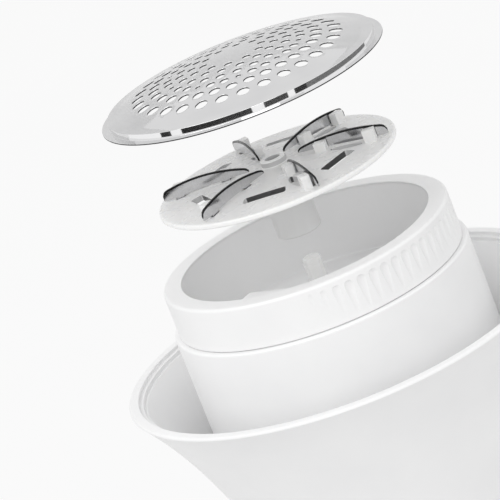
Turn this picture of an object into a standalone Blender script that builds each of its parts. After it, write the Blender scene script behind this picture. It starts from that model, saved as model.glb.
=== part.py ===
"""Cordless fabric shaver, shown with its perforated guard and its six-blade cutter lifted off.

Lengths are in millimetres and become metres when a mesh is made.  +Z is up, the base stands on z = 0,
and every turning piece shares the Z axis.  The front, with the power button, faces -Y.
"""

import math

import bmesh
import bpy
from mathutils import Matrix

MM = 0.001
STEPS = 40          # facets round the large turned pieces
FINE_STEPS = 20     # facets round the inner turned pieces
SMALL_STEPS = 10    # facets round screws, pins and small holes
RING_STEPS = 72     # a facet for each grip flute
DISC_STEPS = 36
GUARD_STEPS = 30    # a facet for each of the outer holes
HOLE_SIDES = 6

# Overall sizes
RING_TOP = 150.0            # top of the twist ring above the base
BELL_RADIUS = 46.2          # outer radius of the bell's rim
BELL_DROP = 20.5            # from the ring's top down to the bell's rim
WAIST_RADIUS = 25.5         # slimmest part of the handle
WAIST_DROP = 100.0          # from the ring's top down to the waist
BASE_SPREAD = 1.5           # base wider than the waist
SHELL_WALL = 2.2
GAP = 0.3                   # clearance between pieces that sit together

# Bell rim and the seat of the head housing
RIM_LAND = 2.2              # width of the flat rim
RIM_STEP_WIDTH = 0.8        # ledge inside the rim
RIM_STEP_DEPTH = 0.85
RIM_ROUND = 0.6
FLARE_PULL = 54.0           # how far up the waist's curve keeps upright
SEAT_INSIDE_NECK = 0.5      # shell's bore at the seat, inside the neck's side
SEAT_LEDGE = 2.4            # width of the seat
SEAT_THICKNESS = 2.0

# Cutting well, twist ring and head housing
WELL_RADIUS = 26.8
WELL_WALL = 1.4
WELL_DEPTH = 14.7           # ring's top to the well's floor
FLOOR_THICKNESS = 2.0
WELL_FOOT = 1.7             # height of the rim that the well stands on
LIP_EDGE = 0.35             # thickness of the ring's lip at its inner edge
RING_WIDTH = 4.0            # from the well's edge to the ring's side
RING_HEIGHT = 9.5
RING_CHAMFER = 0.6
SKIRT_DEPTH = 2.7           # ring's skirt inside the housing
NECK_STEP = 1.1             # neck wider than the ring
NECK_WALL = 2.0
SHELF_THICKNESS = 2.5

# Grip flutes on the ring, in two opposite sectors
FLUTE_PITCH = 5.0           # degrees
FLUTES_PER_SECTOR = 20
SECTOR_CENTRE = -49.0       # degrees, +X is 0
FLUTE_RADIUS = 1.2          # cutter radius at the flute's top
FLUTE_STANDOFF = 0.75       # cutter axis outside the ring's surface
FLUTE_TOP_DROP = 1.5
FLUTE_FOOT = 0.6            # plain band below the flutes
FADING_FLUTES = 3           # flutes at each end of a sector that grow shallower

# Lint baffle on the well's floor
BAFFLE_ANGLE = -130.3
BAFFLE_INNER = 15.0
BAFFLE_WIDTH = 12.0
BAFFLE_TOP_DROP = 3.6

# Drive
PEG_RADIUS = 2.0
PEG_FLAT_DEPTH = 0.4
PEG_TOP_DROP = 3.7
PEG_FLANGE_WIDTH = 1.0
PEG_FLANGE_HEIGHT = 1.4
FLAT_LENGTH = 6.9
SHAFT_RADIUS = 1.15
SHAFT_REACH = 8.2           # shaft above the peg's foot
SEAL_WALL = 1.3
SEAL_HEIGHT = 1.0
MOTOR_RADIUS = 12.0
MOTOR_LENGTH = 30.0
MOTOR_WALL = 0.8
MOTOR_BOSS_RADIUS = 3.0
MOTOR_BOSS_HEIGHT = 1.5
MOTOR_SCREW_INSET = 4.0     # screws inside the can's side
MOTOR_SCREW_RADIUS = 1.1
MOTOR_SCREW_LENGTH = 5.0
MAGNET_SPACE = 1.7          # between the rotor and the can
ROTOR_LENGTH = 19.0

# Cutter, measured from the plane of its rim
CUTTER_LIFT = 16.3          # how far the cutter is lifted from its working place
CUTTER_REST_DROP = 0.1      # working place of the rim below the ring's top
DISC_CLEARANCE = 1.3        # between the disc and the well's wall
DISC_BORDER = 3.5           # flat border outside the disc's crown
DISC_RISE = 1.2
DISC_THICKNESS = 1.2
HUB_RADIUS = 2.7
HUB_HEIGHT = 2.6
HUB_HOLE = 0.8
HUB_RECESS_RADIUS = 1.6
HUB_RECESS_DEPTH = 1.7
STEM_WALL = 2.4
STEM_CLEARANCE = 0.7        # between the stem and the well's floor
STEM_BORE_TOP = 3.2         # below the rim
BLADES = 6
BLADE_ANGLE = 44.7
BLADE_TO_STEM = 0.5
BLADE_TO_RIM = 1.1
BLADE_THICKNESS = 0.35
BLADE_BELOW_CROWN = 2.37    # cutting edge's crest below the height of the guard's crown
BLADE_CREST_PLACE = 8.8     # from the blade's inner end, on a blade of the length below
BLADE_HALF_SPAN = 9.0
BLADE_LENGTH = 19.2
TAB_FROM_INNER = 5.2
TAB_FROM_OUTER = 3.6
TAB_WIDTH = 1.6
TAB_DEPTH = 1.8
POST_LENGTH = 2.4
POST_WIDTH = 1.8
POST_HEIGHT = 2.9
WINDOW_FROM_RIM = 8.8
WINDOW_TO_BLADE = 5.14      # from a window's end to the blade's line
WINDOW_WIDTH = 2.6
WINDOW_ANGLE = 255.0
LEAF_TO_POST = 0.6
LEAF_HALF_WIDTH = 1.1

# Guard, measured from the underside of its flange
GUARD_LIFT = 35.8
FLANGE_INSET = 0.8          # flange narrower than the ring
FLANGE_WIDTH = 1.6
FLANGE_THICKNESS = 0.45
SHEET = 0.4
CROWN = 5.9
DOME_RISE = 4.47            # from the top of the band to the crown
DOME_ARC = (10.1, 15.7, 23.3)     # radii between the rings of holes, where the dome is facetted
# Rings of holes: radius, count, diameter, angle of the first hole, every n-th hole small
HOLE_RINGS = (
    (21.2, 30, 2.7, -80.5, 0),
    (17.4, 30, 2.4, -86.5, 0),
    (14.2, 30, 1.9, -92.5, 3),
    (11.5, 20, 1.9, -92.0, 0),
    (8.8, 14, 1.8, -86.0, 0),
    (6.3, 10, 1.7, -104.0, 0),
)
SMALL_HOLE = 1.1

# Handle: button, light, charging socket
BUTTON_DROP = 78.0          # from the ring's top down to the button
BUTTON_RADIUS = 5.0
BUTTON_PROUD = 1.4
BUTTON_DEPTH = 5.9
BUTTON_TRAVEL = 1.2
BEZEL_WALL = 1.5
BEZEL_PROUD = 0.6
BEZEL_PAST_WALL = 1.0       # bezel's tube inside the shell
LIGHT_BELOW_BUTTON = 14.0
LIGHT_RADIUS = 1.4
SWITCH_SIZE = 6.0
SWITCH_DEPTH = 3.5
BOARD_WIDTH = 22.0
BOARD_THICKNESS = 1.6
SOCKET_WIDTH = 9.0
SOCKET_HEIGHT = 3.2
SOCKET_WALL = 0.35
SOCKET_LENGTH = 7.5

# Inner frame, cell and base
FRAME_FLOOR = 16.0
FRAME_PLATE = 2.0
PLATE_WIDTH = 24.0
FRAME_TO_MOTOR = 10.0       # room for the wiring below the motor
CELL_RADIUS = 9.0
FOOT_INSET = 4.0            # foot pad inside the base's edge
FOOT_THICKNESS = 1.2
BASE_UNDERSIDE = 0.6
BASE_FLANGE_TOP = 2.6
BASE_PLUG_TOP = 6.0
BASE_FLOOR = 3.6
BASE_POSTS = 3
POST_RADIUS = 3.8
POST_INSET = 1.9            # between a post and the inner frame's edge
SCREW_RADIUS = 1.2
SCREW_HEAD_RADIUS = 2.3
SCREW_HEAD_HEIGHT = 1.6
SCREW_BOSS = 3.0            # boss height on the inner frame's floor

# Levels that follow from the sizes above
WAIST_HEIGHT = RING_TOP - WAIST_DROP
BASE_RADIUS = WAIST_RADIUS + BASE_SPREAD
RING_RADIUS = WELL_RADIUS + RING_WIDTH
NECK_RADIUS = RING_RADIUS + NECK_STEP
RIM_TOP = RING_TOP - BELL_DROP
WELL_FLOOR = RING_TOP - WELL_DEPTH
WELL_UNDERSIDE = WELL_FLOOR - FLOOR_THICKNESS
SHELF_TOP = WELL_UNDERSIDE - WELL_FOOT - GAP
SHELF_UNDERSIDE = SHELF_TOP - SHELF_THICKNESS
RING_BOTTOM = RING_TOP - RING_HEIGHT
WELL_OUTER = WELL_RADIUS + WELL_WALL
RING_BORE = WELL_OUTER + GAP
FLUTE_LENGTH = RING_HEIGHT - FLUTE_TOP_DROP - FLUTE_FOOT
PEG_TOP = RING_TOP - PEG_TOP_DROP
PEG_ACROSS_FLATS = 2 * (PEG_RADIUS - PEG_FLAT_DEPTH)
PEG_FLANGE_RADIUS = PEG_RADIUS + PEG_FLANGE_WIDTH
PEG_FOOT = SHELF_TOP + GAP
MOTOR_TOP = SHELF_UNDERSIDE - GAP
MOTOR_BOTTOM = MOTOR_TOP - MOTOR_LENGTH
MOTOR_SCREW_CIRCLE = MOTOR_RADIUS - MOTOR_SCREW_INSET
ROTOR_RADIUS = MOTOR_RADIUS - MOTOR_WALL - MAGNET_SPACE
SHAFT_BORE = SHAFT_RADIUS + GAP
FRAME_TOP = MOTOR_BOTTOM - FRAME_TO_MOTOR
CUTTER_RIM = RING_TOP - CUTTER_REST_DROP + CUTTER_LIFT
DISC_RADIUS = WELL_RADIUS - DISC_CLEARANCE
DISC_FLAT_RADIUS = DISC_RADIUS - DISC_BORDER
STEM_RADIUS = PEG_RADIUS + GAP + STEM_WALL
STEM_LENGTH = WELL_DEPTH - CUTTER_REST_DROP - STEM_CLEARANCE
BLADE_INNER = STEM_RADIUS + BLADE_TO_STEM
BLADE_OUTER = DISC_RADIUS - BLADE_TO_RIM
BLADE_STRETCH = (BLADE_OUTER - BLADE_INNER) / BLADE_LENGTH
BLADE_CREST = CROWN - BLADE_BELOW_CROWN
TAB_RADII = (BLADE_INNER + TAB_FROM_INNER, BLADE_OUTER - TAB_FROM_OUTER)
WINDOW_RADIUS = DISC_RADIUS - WINDOW_FROM_RIM
WINDOW_LENGTH = 2 * (WINDOW_RADIUS * math.tan(math.pi / BLADES) - WINDOW_TO_BLADE)
LEAF_RADIUS = (TAB_RADII[0] + TAB_RADII[1]) / 2
LEAF_HALF_LENGTH = (TAB_RADII[1] - TAB_RADII[0] - POST_LENGTH) / 2 - LEAF_TO_POST
FLANGE_LEVEL = RING_TOP + GAP + GUARD_LIFT
FLANGE_RADIUS = RING_RADIUS - FLANGE_INSET
BAND_RADIUS = FLANGE_RADIUS - FLANGE_WIDTH
DOME_RADIUS = (BAND_RADIUS - SHEET) ** 2 / (2 * DOME_RISE)
BUTTON_HEIGHT = RING_TOP - BUTTON_DROP
BEZEL_DEPTH = BEZEL_PROUD + SHELL_WALL + BEZEL_PAST_WALL
FOOT_RADIUS = BASE_RADIUS - FOOT_INSET
SHELL_BOTTOM = BASE_FLANGE_TOP + GAP


# ---------------------------------------------------------------- tools

def material(name, colour, roughness, metallic=0.0):
    """A Principled material, made once per name."""
    made = bpy.data.materials.get(name)
    if made is None:
        made = bpy.data.materials.new(name)
        made.use_nodes = True
        shader = made.node_tree.nodes["Principled BSDF"]
        shader.inputs["Base Color"].default_value = (*colour, 1.0)
        shader.inputs["Roughness"].default_value = roughness
        shader.inputs["Metallic"].default_value = metallic
    return made


def white_plastic():
    return material("white_plastic", (0.86, 0.86, 0.86), 0.35)


def grey_plastic():
    return material("grey_plastic", (0.55, 0.55, 0.55), 0.45)


def dark_plastic():
    return material("dark_plastic", (0.05, 0.05, 0.055), 0.5)


def steel():
    return material("steel", (0.62, 0.62, 0.63), 0.2, 1.0)


def put(bm, name, finish, origin=(0.0, 0.0, 0.0)):
    """Turn a millimetre bmesh into an object with its origin at the given point."""
    bmesh.ops.remove_doubles(bm, verts=bm.verts[:], dist=0.0005)
    bmesh.ops.recalc_face_normals(bm, faces=bm.faces[:])
    bmesh.ops.translate(bm, vec=[-c for c in origin], verts=bm.verts[:])
    bmesh.ops.scale(bm, vec=(MM, MM, MM), verts=bm.verts[:])
    mesh = bpy.data.meshes.new(name)
    bm.to_mesh(mesh)
    bm.free()
    mesh.shade_smooth()
    mesh.set_sharp_from_angle(angle=math.radians(30))
    made = bpy.data.objects.new(name, mesh)
    made.location = [c * MM for c in origin]
    bpy.context.collection.objects.link(made)
    if finish is not None:
        mesh.materials.append(finish)
    return made


def combine(target, bm, operation):
    """Cut or add the bodies in bm with an exact Boolean."""
    tool = put(bm, f"{target.name}_{operation.lower()}", None)
    tool.hide_render = True
    tool.display_type = "WIRE"
    boolean = target.modifiers.new(operation.title(), "BOOLEAN")
    boolean.object = tool
    boolean.operation = operation
    boolean.solver = "EXACT"


def add_turned(bm, outline, steps, place=None):
    """Spin an outline of (radius, height) points round Z; it closes unless it starts on the axis."""
    verts = [bm.verts.new((radius, 0.0, height)) for radius, height in outline]
    edges = [bm.edges.new(pair) for pair in zip(verts, verts[1:])]
    if outline[0][0] > 0.0:
        edges.append(bm.edges.new((verts[-1], verts[0])))
    before = set(bm.verts) - set(verts)
    bmesh.ops.spin(bm, geom=verts + edges, cent=(0, 0, 0), axis=(0, 0, 1),
                   angle=math.tau, steps=steps, use_merge=True)
    if place is not None:
        bmesh.ops.transform(bm, matrix=place, verts=[v for v in bm.verts if v not in before])


def turned(name, outline, finish, steps=STEPS, origin=(0.0, 0.0, 0.0), place=None):
    bm = bmesh.new()
    add_turned(bm, outline, steps, place)
    return put(bm, name, finish, origin)


def add_prism(bm, outline, low, high, place=None):
    """Extrude a flat outline between two heights."""
    base = [bm.verts.new((x, y, low)) for x, y in outline]
    made = bmesh.ops.extrude_face_region(bm, geom=[bm.faces.new(base)])["geom"]
    top = [item for item in made if isinstance(item, bmesh.types.BMVert)]
    bmesh.ops.translate(bm, vec=(0.0, 0.0, high - low), verts=top)
    if place is not None:
        bmesh.ops.transform(bm, matrix=place, verts=base + top)


def add_box(bm, low, high, place=None):
    outline = [(low[0], low[1]), (high[0], low[1]), (high[0], high[1]), (low[0], high[1])]
    add_prism(bm, outline, low[2], high[2], place)


def circle(radius, sides, centre=(0.0, 0.0)):
    return [(centre[0] + radius * math.cos(math.tau * i / sides),
             centre[1] + radius * math.sin(math.tau * i / sides)) for i in range(sides)]


def polar(radius, degrees):
    return radius * math.cos(math.radians(degrees)), radius * math.sin(math.radians(degrees))


def turn(degrees):
    return Matrix.Rotation(math.radians(degrees), 4, "Z")


def facing_front(height):
    """Carries a piece turned round Z to the front, its +Z pointing out along -Y at that height."""
    return Matrix.Translation((0.0, 0.0, height)) @ Matrix.Rotation(math.radians(90), 4, "X")


def bezier(start, start_pull, end_pull, end, steps):
    points = []
    for i in range(steps + 1):
        t = i / steps
        weights = ((1 - t) ** 3, 3 * t * (1 - t) ** 2, 3 * t * t * (1 - t), t ** 3)
        points.append(tuple(sum(w * p[axis] for w, p in zip(weights, (start, start_pull, end_pull, end)))
                            for axis in (0, 1)))
    return points


def offset(points, distance):
    """Move a curve of (radius, height) points towards the axis, square to itself."""
    moved = []
    for i, (radius, height) in enumerate(points):
        before, after = points[max(i - 1, 0)], points[min(i + 1, len(points) - 1)]
        run, rise = after[0] - before[0], after[1] - before[1]
        length = math.hypot(run, rise)
        moved.append((radius - distance * rise / length, height + distance * run / length))
    return moved


def radius_at(curve, height):
    """Radius of a curve of (radius, height) points, given from its foot up."""
    for (r0, z0), (r1, z1) in zip(curve, curve[1:]):
        if z0 <= height <= z1:
            return r0 + (r1 - r0) * (height - z0) / (z1 - z0)
    return curve[0][0] if height < curve[0][1] else curve[-1][0]


def height_at(curve, radius):
    """Height above the waist where the flaring curve reaches a radius."""
    for (r0, z0), (r1, z1) in reversed(list(zip(curve, curve[1:]))):
        if r0 <= radius <= r1:
            return z0 + (z1 - z0) * (radius - r0) / (r1 - r0)
    return curve[-1][1]


def between(curve, low, high):
    """The part of a curve between two heights, from its foot up."""
    inside = [p for p in curve if low + 1.5 < p[1] < high - 1.5]
    return [(radius_at(curve, low), low), *inside, (radius_at(curve, high), high)]


# ---------------------------------------------------------------- shell and base

def shell_curve():
    """Outer side of the handle and bell from the base up."""
    half = (WAIST_HEIGHT - SHELL_BOTTOM) / 2
    handle = bezier((BASE_RADIUS, SHELL_BOTTOM), (BASE_RADIUS, SHELL_BOTTOM + half),
                    (WAIST_RADIUS, WAIST_HEIGHT - half), (WAIST_RADIUS, WAIST_HEIGHT), 2)
    flare_end = (BELL_RADIUS, RIM_TOP - RIM_ROUND)
    bell = bezier((WAIST_RADIUS, WAIST_HEIGHT), (WAIST_RADIUS, WAIST_HEIGHT + FLARE_PULL),
                  flare_end, flare_end, 8)
    return handle + bell[1:]


OUTER = shell_curve()
INNER = offset(OUTER, SHELL_WALL)
SEAT_RADIUS = NECK_RADIUS - SEAT_INSIDE_NECK
SEAT_TOP = height_at(INNER, SEAT_RADIUS)
SEAT_BORE = SEAT_RADIUS - SEAT_LEDGE
FRONT = radius_at(OUTER, BUTTON_HEIGHT)         # surface at the button, along -Y
SOCKET_LEVEL = FRAME_FLOOR + FRAME_PLATE + GAP + SOCKET_HEIGHT / 2
BACK = radius_at(OUTER, SOCKET_LEVEL)           # surface at the charging socket, along +Y
BEZEL_RADIUS = BUTTON_RADIUS + GAP + BEZEL_WALL
SWITCH_FRONT = FRONT + BUTTON_PROUD - BUTTON_DEPTH - BUTTON_TRAVEL - GAP
BOARD_FRONT = SWITCH_FRONT - SWITCH_DEPTH - GAP
PLATE_FRONT = BOARD_FRONT - BOARD_THICKNESS - GAP
CELL_CENTRE = PLATE_FRONT - FRAME_PLATE - GAP - CELL_RADIUS
FRAME_RADIUS = WAIST_RADIUS - SHELL_WALL - 2 * GAP
POST_CIRCLE = FRAME_RADIUS - POST_INSET - POST_RADIUS


def body_shell():
    rim_inner = BELL_RADIUS - RIM_LAND
    first_step = RIM_TOP - RIM_STEP_DEPTH
    second_step = first_step - RIM_STEP_DEPTH
    wall = between(INNER, SEAT_TOP, second_step)
    outline = [(BELL_RADIUS - RIM_ROUND, RIM_TOP), (rim_inner, RIM_TOP), (rim_inner, first_step),
               (rim_inner - RIM_STEP_WIDTH, first_step), (rim_inner - RIM_STEP_WIDTH, second_step)]
    outline += reversed(wall)
    outline += [(SEAT_BORE, SEAT_TOP), (SEAT_BORE, SEAT_TOP - SEAT_THICKNESS)]
    outline += reversed(between(INNER, SHELL_BOTTOM, SEAT_TOP - SEAT_THICKNESS))
    outline += OUTER
    shell = turned("body_shell", outline, white_plastic())
    holes = bmesh.new()
    light_height = BUTTON_HEIGHT - LIGHT_BELOW_BUTTON
    for height, radius in ((BUTTON_HEIGHT, BEZEL_RADIUS + GAP), (light_height, LIGHT_RADIUS + GAP)):
        add_prism(holes, circle(radius, FINE_STEPS), FRONT - 2 * SHELL_WALL, FRONT + 2 * SHELL_WALL,
                  facing_front(height))
    half_width, half_height = SOCKET_WIDTH / 2 + GAP, SOCKET_HEIGHT / 2 + GAP
    add_box(holes, (-half_width, BACK - 2 * SHELL_WALL, SOCKET_LEVEL - half_height),
            (half_width, BACK + SHELL_WALL, SOCKET_LEVEL + half_height))
    combine(shell, holes, "DIFFERENCE")


def base_post_places():
    return [polar(POST_CIRCLE, 90 + 60 + 360 * i / BASE_POSTS) for i in range(BASE_POSTS)]


def base_cap():
    plug = radius_at(INNER, SHELL_BOTTOM) - GAP
    recess = FOOT_RADIUS + GAP
    recess_top = FOOT_THICKNESS + GAP
    outline = [(0.0, BASE_FLOOR), (plug - SHELL_WALL, BASE_FLOOR), (plug - SHELL_WALL, BASE_PLUG_TOP),
               (plug, BASE_PLUG_TOP), (plug, BASE_FLANGE_TOP), (BASE_RADIUS - GAP, BASE_FLANGE_TOP),
               (BASE_RADIUS - GAP, BASE_UNDERSIDE + RIM_ROUND), (BASE_RADIUS - 2 * RIM_ROUND, BASE_UNDERSIDE),
               (recess, BASE_UNDERSIDE), (recess, recess_top), (0.0, recess_top)]
    cap = turned("base_cap", outline, white_plastic())
    posts, holes = bmesh.new(), bmesh.new()
    shank, head = SCREW_RADIUS + GAP, SCREW_HEAD_RADIUS + GAP
    head_top = recess_top + SCREW_HEAD_HEIGHT + 2 * GAP
    for place in base_post_places():
        add_prism(posts, circle(POST_RADIUS, FINE_STEPS, place), BASE_FLOOR - 1.0, FRAME_FLOOR - GAP)
        add_turned(holes, [(0.0, FRAME_FLOOR), (shank, FRAME_FLOOR), (shank, head_top), (head, head_top),
                           (head, 0.0), (0.0, 0.0)], SMALL_STEPS, Matrix.Translation((*place, 0.0)))
    combine(cap, posts, "UNION")
    combine(cap, holes, "DIFFERENCE")


def foot_pad():
    outline = [(0.0, FOOT_THICKNESS), (FOOT_RADIUS, FOOT_THICKNESS), (FOOT_RADIUS, GAP),
               (FOOT_RADIUS - GAP, 0.0), (0.0, 0.0)]
    turned("foot_pad", outline, material("rubber", (0.35, 0.35, 0.36), 0.9))


def base_screws():
    head = FOOT_THICKNESS + 2 * GAP
    shank = head + SCREW_HEAD_HEIGHT
    tip = FRAME_FLOOR + FRAME_PLATE + SCREW_BOSS - GAP
    outline = [(0.0, tip), (SCREW_RADIUS / 2, tip), (SCREW_RADIUS, tip - SCREW_RADIUS), (SCREW_RADIUS, shank),
               (SCREW_HEAD_RADIUS, shank), (SCREW_HEAD_RADIUS, head), (0.0, head)]
    for number, (x, y) in enumerate(base_post_places(), 1):
        turned(f"base_screw_{number}", outline, steel(), SMALL_STEPS, (x, y, head),
               Matrix.Translation((x, y, 0.0)))


# ---------------------------------------------------------------- inside the handle

def inner_frame():
    """Upright plate with a floor and a top that hold the cell and the board."""
    bm = bmesh.new()
    add_box(bm, (-PLATE_WIDTH / 2, -PLATE_FRONT, FRAME_FLOOR + 1.0),
            (PLATE_WIDTH / 2, -PLATE_FRONT + FRAME_PLATE, FRAME_TOP - 1.0))
    frame = put(bm, "inner_frame", grey_plastic())
    plates, holes = bmesh.new(), bmesh.new()
    add_prism(plates, circle(FRAME_RADIUS, FINE_STEPS), FRAME_FLOOR, FRAME_FLOOR + FRAME_PLATE)
    add_prism(plates, circle(FRAME_RADIUS, FINE_STEPS), FRAME_TOP - FRAME_PLATE, FRAME_TOP)
    combine(frame, plates, "UNION")
    bosses = bmesh.new()
    for place in base_post_places():
        add_prism(bosses, circle(POST_RADIUS - 1.0, SMALL_STEPS, place), FRAME_FLOOR + 1.0,
                  FRAME_FLOOR + FRAME_PLATE + SCREW_BOSS)
        add_prism(holes, circle(SCREW_RADIUS + GAP, SMALL_STEPS, place), 0.0,
                  FRAME_FLOOR + FRAME_PLATE + SCREW_BOSS + 1.0)
    combine(frame, bosses, "UNION")
    combine(frame, holes, "DIFFERENCE")


def battery_cell():
    low, high = FRAME_FLOOR + FRAME_PLATE + GAP, FRAME_TOP - FRAME_PLATE - GAP
    edge = 0.8
    outline = [(0.0, high), (3.0, high), (3.0, high - edge), (CELL_RADIUS - edge, high - edge),
               (CELL_RADIUS, high - 2 * edge), (CELL_RADIUS, low + edge), (CELL_RADIUS - edge, low),
               (0.0, low)]
    turned("battery_cell", outline, material("cell_wrap", (0.08, 0.25, 0.45), 0.4), FINE_STEPS,
           (0.0, -CELL_CENTRE, low), Matrix.Translation((0.0, -CELL_CENTRE, 0.0)))


def control_board():
    low, high = FRAME_FLOOR + FRAME_PLATE + SCREW_BOSS + GAP, FRAME_TOP - FRAME_PLATE - GAP
    bm = bmesh.new()
    add_box(bm, (-BOARD_WIDTH / 2, -BOARD_FRONT, low),
            (BOARD_WIDTH / 2, -BOARD_FRONT + BOARD_THICKNESS, high))
    put(bm, "control_board", material("circuit_board", (0.03, 0.22, 0.10), 0.5))


def tact_switch():
    half = SWITCH_SIZE / 2
    bm = bmesh.new()
    add_box(bm, (-half, -SWITCH_FRONT, BUTTON_HEIGHT - half),
            (half, -SWITCH_FRONT + SWITCH_DEPTH, BUTTON_HEIGHT + half))
    put(bm, "tact_switch", dark_plastic())


def power_button():
    face = FRONT + BUTTON_PROUD
    back = face - BUTTON_DEPTH
    bezel_back = FRONT + BEZEL_PROUD - BEZEL_DEPTH
    flange = BUTTON_RADIUS + 2 * GAP + 0.4
    outline = [(0.0, face), (BUTTON_RADIUS * 0.6, face - 0.1), (BUTTON_RADIUS - 0.4, face - 0.3),
               (BUTTON_RADIUS, face - 0.8), (BUTTON_RADIUS, bezel_back - GAP), (flange, bezel_back - GAP),
               (flange, back), (0.0, back)]
    turned("power_button", outline, white_plastic(), FINE_STEPS, (0.0, -FRONT, BUTTON_HEIGHT),
           facing_front(BUTTON_HEIGHT))


def button_bezel():
    inner, face = BUTTON_RADIUS + GAP, FRONT + BEZEL_PROUD
    outline = [(inner, face - 0.3), (inner + 0.4, face), (BEZEL_RADIUS - 0.4, face),
               (BEZEL_RADIUS, face - 0.4), (BEZEL_RADIUS, face - BEZEL_DEPTH), (inner, face - BEZEL_DEPTH)]
    turned("button_bezel", outline, steel(), FINE_STEPS, (0.0, -FRONT, BUTTON_HEIGHT),
           facing_front(BUTTON_HEIGHT))


def charge_light():
    height = BUTTON_HEIGHT - LIGHT_BELOW_BUTTON
    face = radius_at(OUTER, height) + 0.25
    outline = [(0.0, face), (LIGHT_RADIUS - 0.4, face - 0.1), (LIGHT_RADIUS, face - 0.4),
               (LIGHT_RADIUS, BOARD_FRONT + GAP), (0.0, BOARD_FRONT + GAP)]
    turned("charge_light", outline, material("light_pipe", (0.75, 0.82, 0.85), 0.15), SMALL_STEPS,
           (0.0, -face, height), facing_front(height))


def charge_socket():
    half_width, half_height = SOCKET_WIDTH / 2, SOCKET_HEIGHT / 2
    bm = bmesh.new()
    add_box(bm, (-half_width, BACK - SOCKET_LENGTH, SOCKET_LEVEL - half_height),
            (half_width, BACK - 0.5, SOCKET_LEVEL + half_height))
    socket = put(bm, "charge_socket", steel())
    mouth = bmesh.new()
    mouth_width, mouth_height = half_width - SOCKET_WALL, half_height - SOCKET_WALL
    add_box(mouth, (-mouth_width, BACK - SOCKET_LENGTH + 1.0, SOCKET_LEVEL - mouth_height),
            (mouth_width, BACK + 1.0, SOCKET_LEVEL + mouth_height))
    combine(socket, mouth, "DIFFERENCE")


# ---------------------------------------------------------------- motor and drive

def motor_screw_places():
    return [(MOTOR_SCREW_CIRCLE, 0.0), (-MOTOR_SCREW_CIRCLE, 0.0)]


def screw_holes():
    holes = bmesh.new()
    for place in motor_screw_places():
        add_prism(holes, circle(MOTOR_SCREW_RADIUS + GAP, SMALL_STEPS, place),
                  MOTOR_TOP - 2 * MOTOR_WALL, SHELF_TOP + 1.0)
    return holes


def motor_can():
    boss_top = MOTOR_TOP + MOTOR_BOSS_HEIGHT
    bore = MOTOR_RADIUS - MOTOR_WALL
    outline = [(SHAFT_BORE, boss_top), (MOTOR_BOSS_RADIUS, boss_top), (MOTOR_BOSS_RADIUS, MOTOR_TOP),
               (MOTOR_RADIUS - 0.6, MOTOR_TOP), (MOTOR_RADIUS, MOTOR_TOP - 0.6), (MOTOR_RADIUS, MOTOR_BOTTOM),
               (bore, MOTOR_BOTTOM), (bore, MOTOR_TOP - MOTOR_WALL), (SHAFT_BORE, MOTOR_TOP - MOTOR_WALL)]
    combine(turned("motor_can", outline, steel(), FINE_STEPS), screw_holes(), "DIFFERENCE")


def motor_end_cap():
    plug = MOTOR_RADIUS - MOTOR_WALL - GAP
    top = MOTOR_BOTTOM - GAP
    outline = [(SHAFT_BORE, top + 2.3), (plug, top + 2.3), (plug, top), (MOTOR_RADIUS, top),
               (MOTOR_RADIUS, top - 1.6), (MOTOR_BOSS_RADIUS, top - 1.6), (MOTOR_BOSS_RADIUS, top - 2.6),
               (SHAFT_BORE, top - 2.6)]
    turned("motor_end_cap", outline, dark_plastic(), FINE_STEPS)


def motor_screws():
    head = SHELF_TOP + GAP
    rim, tip = MOTOR_SCREW_RADIUS + 0.9, head - MOTOR_SCREW_LENGTH
    outline = [(0.0, head + 1.2), (rim - 0.4, head + 1.2), (rim, head + 0.8), (rim, head),
               (MOTOR_SCREW_RADIUS, head), (MOTOR_SCREW_RADIUS, tip), (0.0, tip)]
    for number, (x, y) in enumerate(motor_screw_places(), 1):
        turned(f"motor_screw_{number}", outline, steel(), SMALL_STEPS, (x, y, head),
               Matrix.Translation((x, y, 0.0)))


def motor_shaft():
    low, high = MOTOR_BOTTOM - 2.0, PEG_FOOT + SHAFT_REACH
    outline = [(0.0, high), (SHAFT_RADIUS - 0.2, high), (SHAFT_RADIUS, high - 0.2), (SHAFT_RADIUS, low),
               (0.0, low)]
    turned("motor_shaft", outline, steel(), SMALL_STEPS, (0.0, 0.0, low))


def motor_rotor():
    low = MOTOR_BOTTOM + 4.5
    high = low + ROTOR_LENGTH
    outline = [(SHAFT_BORE, high), (ROTOR_RADIUS - 0.8, high), (ROTOR_RADIUS, high - 0.8),
               (ROTOR_RADIUS, low + 0.8), (ROTOR_RADIUS - 0.8, low), (3.5, low), (3.5, low - 1.6),
               (SHAFT_BORE, low - 1.6)]
    turned("motor_rotor", outline, material("copper", (0.72, 0.38, 0.22), 0.35, 1.0), FINE_STEPS,
           (0.0, 0.0, low))


def drive_peg():
    bore_top = PEG_FOOT + SHAFT_REACH + GAP
    flange_top = PEG_FOOT + PEG_FLANGE_HEIGHT
    outline = [(0.0, PEG_TOP), (PEG_RADIUS - 0.7, PEG_TOP), (PEG_RADIUS - 0.2, PEG_TOP - 0.25),
               (PEG_RADIUS, PEG_TOP - 0.7), (PEG_RADIUS, flange_top), (PEG_FLANGE_RADIUS, flange_top),
               (PEG_FLANGE_RADIUS, PEG_FOOT), (SHAFT_BORE, PEG_FOOT), (SHAFT_BORE, bore_top), (0.0, bore_top)]
    peg = turned("drive_peg", outline, material("milky_plastic", (0.88, 0.88, 0.87), 0.3), FINE_STEPS,
                 (0.0, 0.0, PEG_FOOT))
    flats = bmesh.new()
    flat, reach = PEG_ACROSS_FLATS / 2, 2 * PEG_RADIUS
    for side in (0, 180):
        add_box(flats, (-reach, flat, PEG_TOP - FLAT_LENGTH), (reach, reach, PEG_TOP + 1.0), turn(side))
    combine(peg, flats, "DIFFERENCE")


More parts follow.
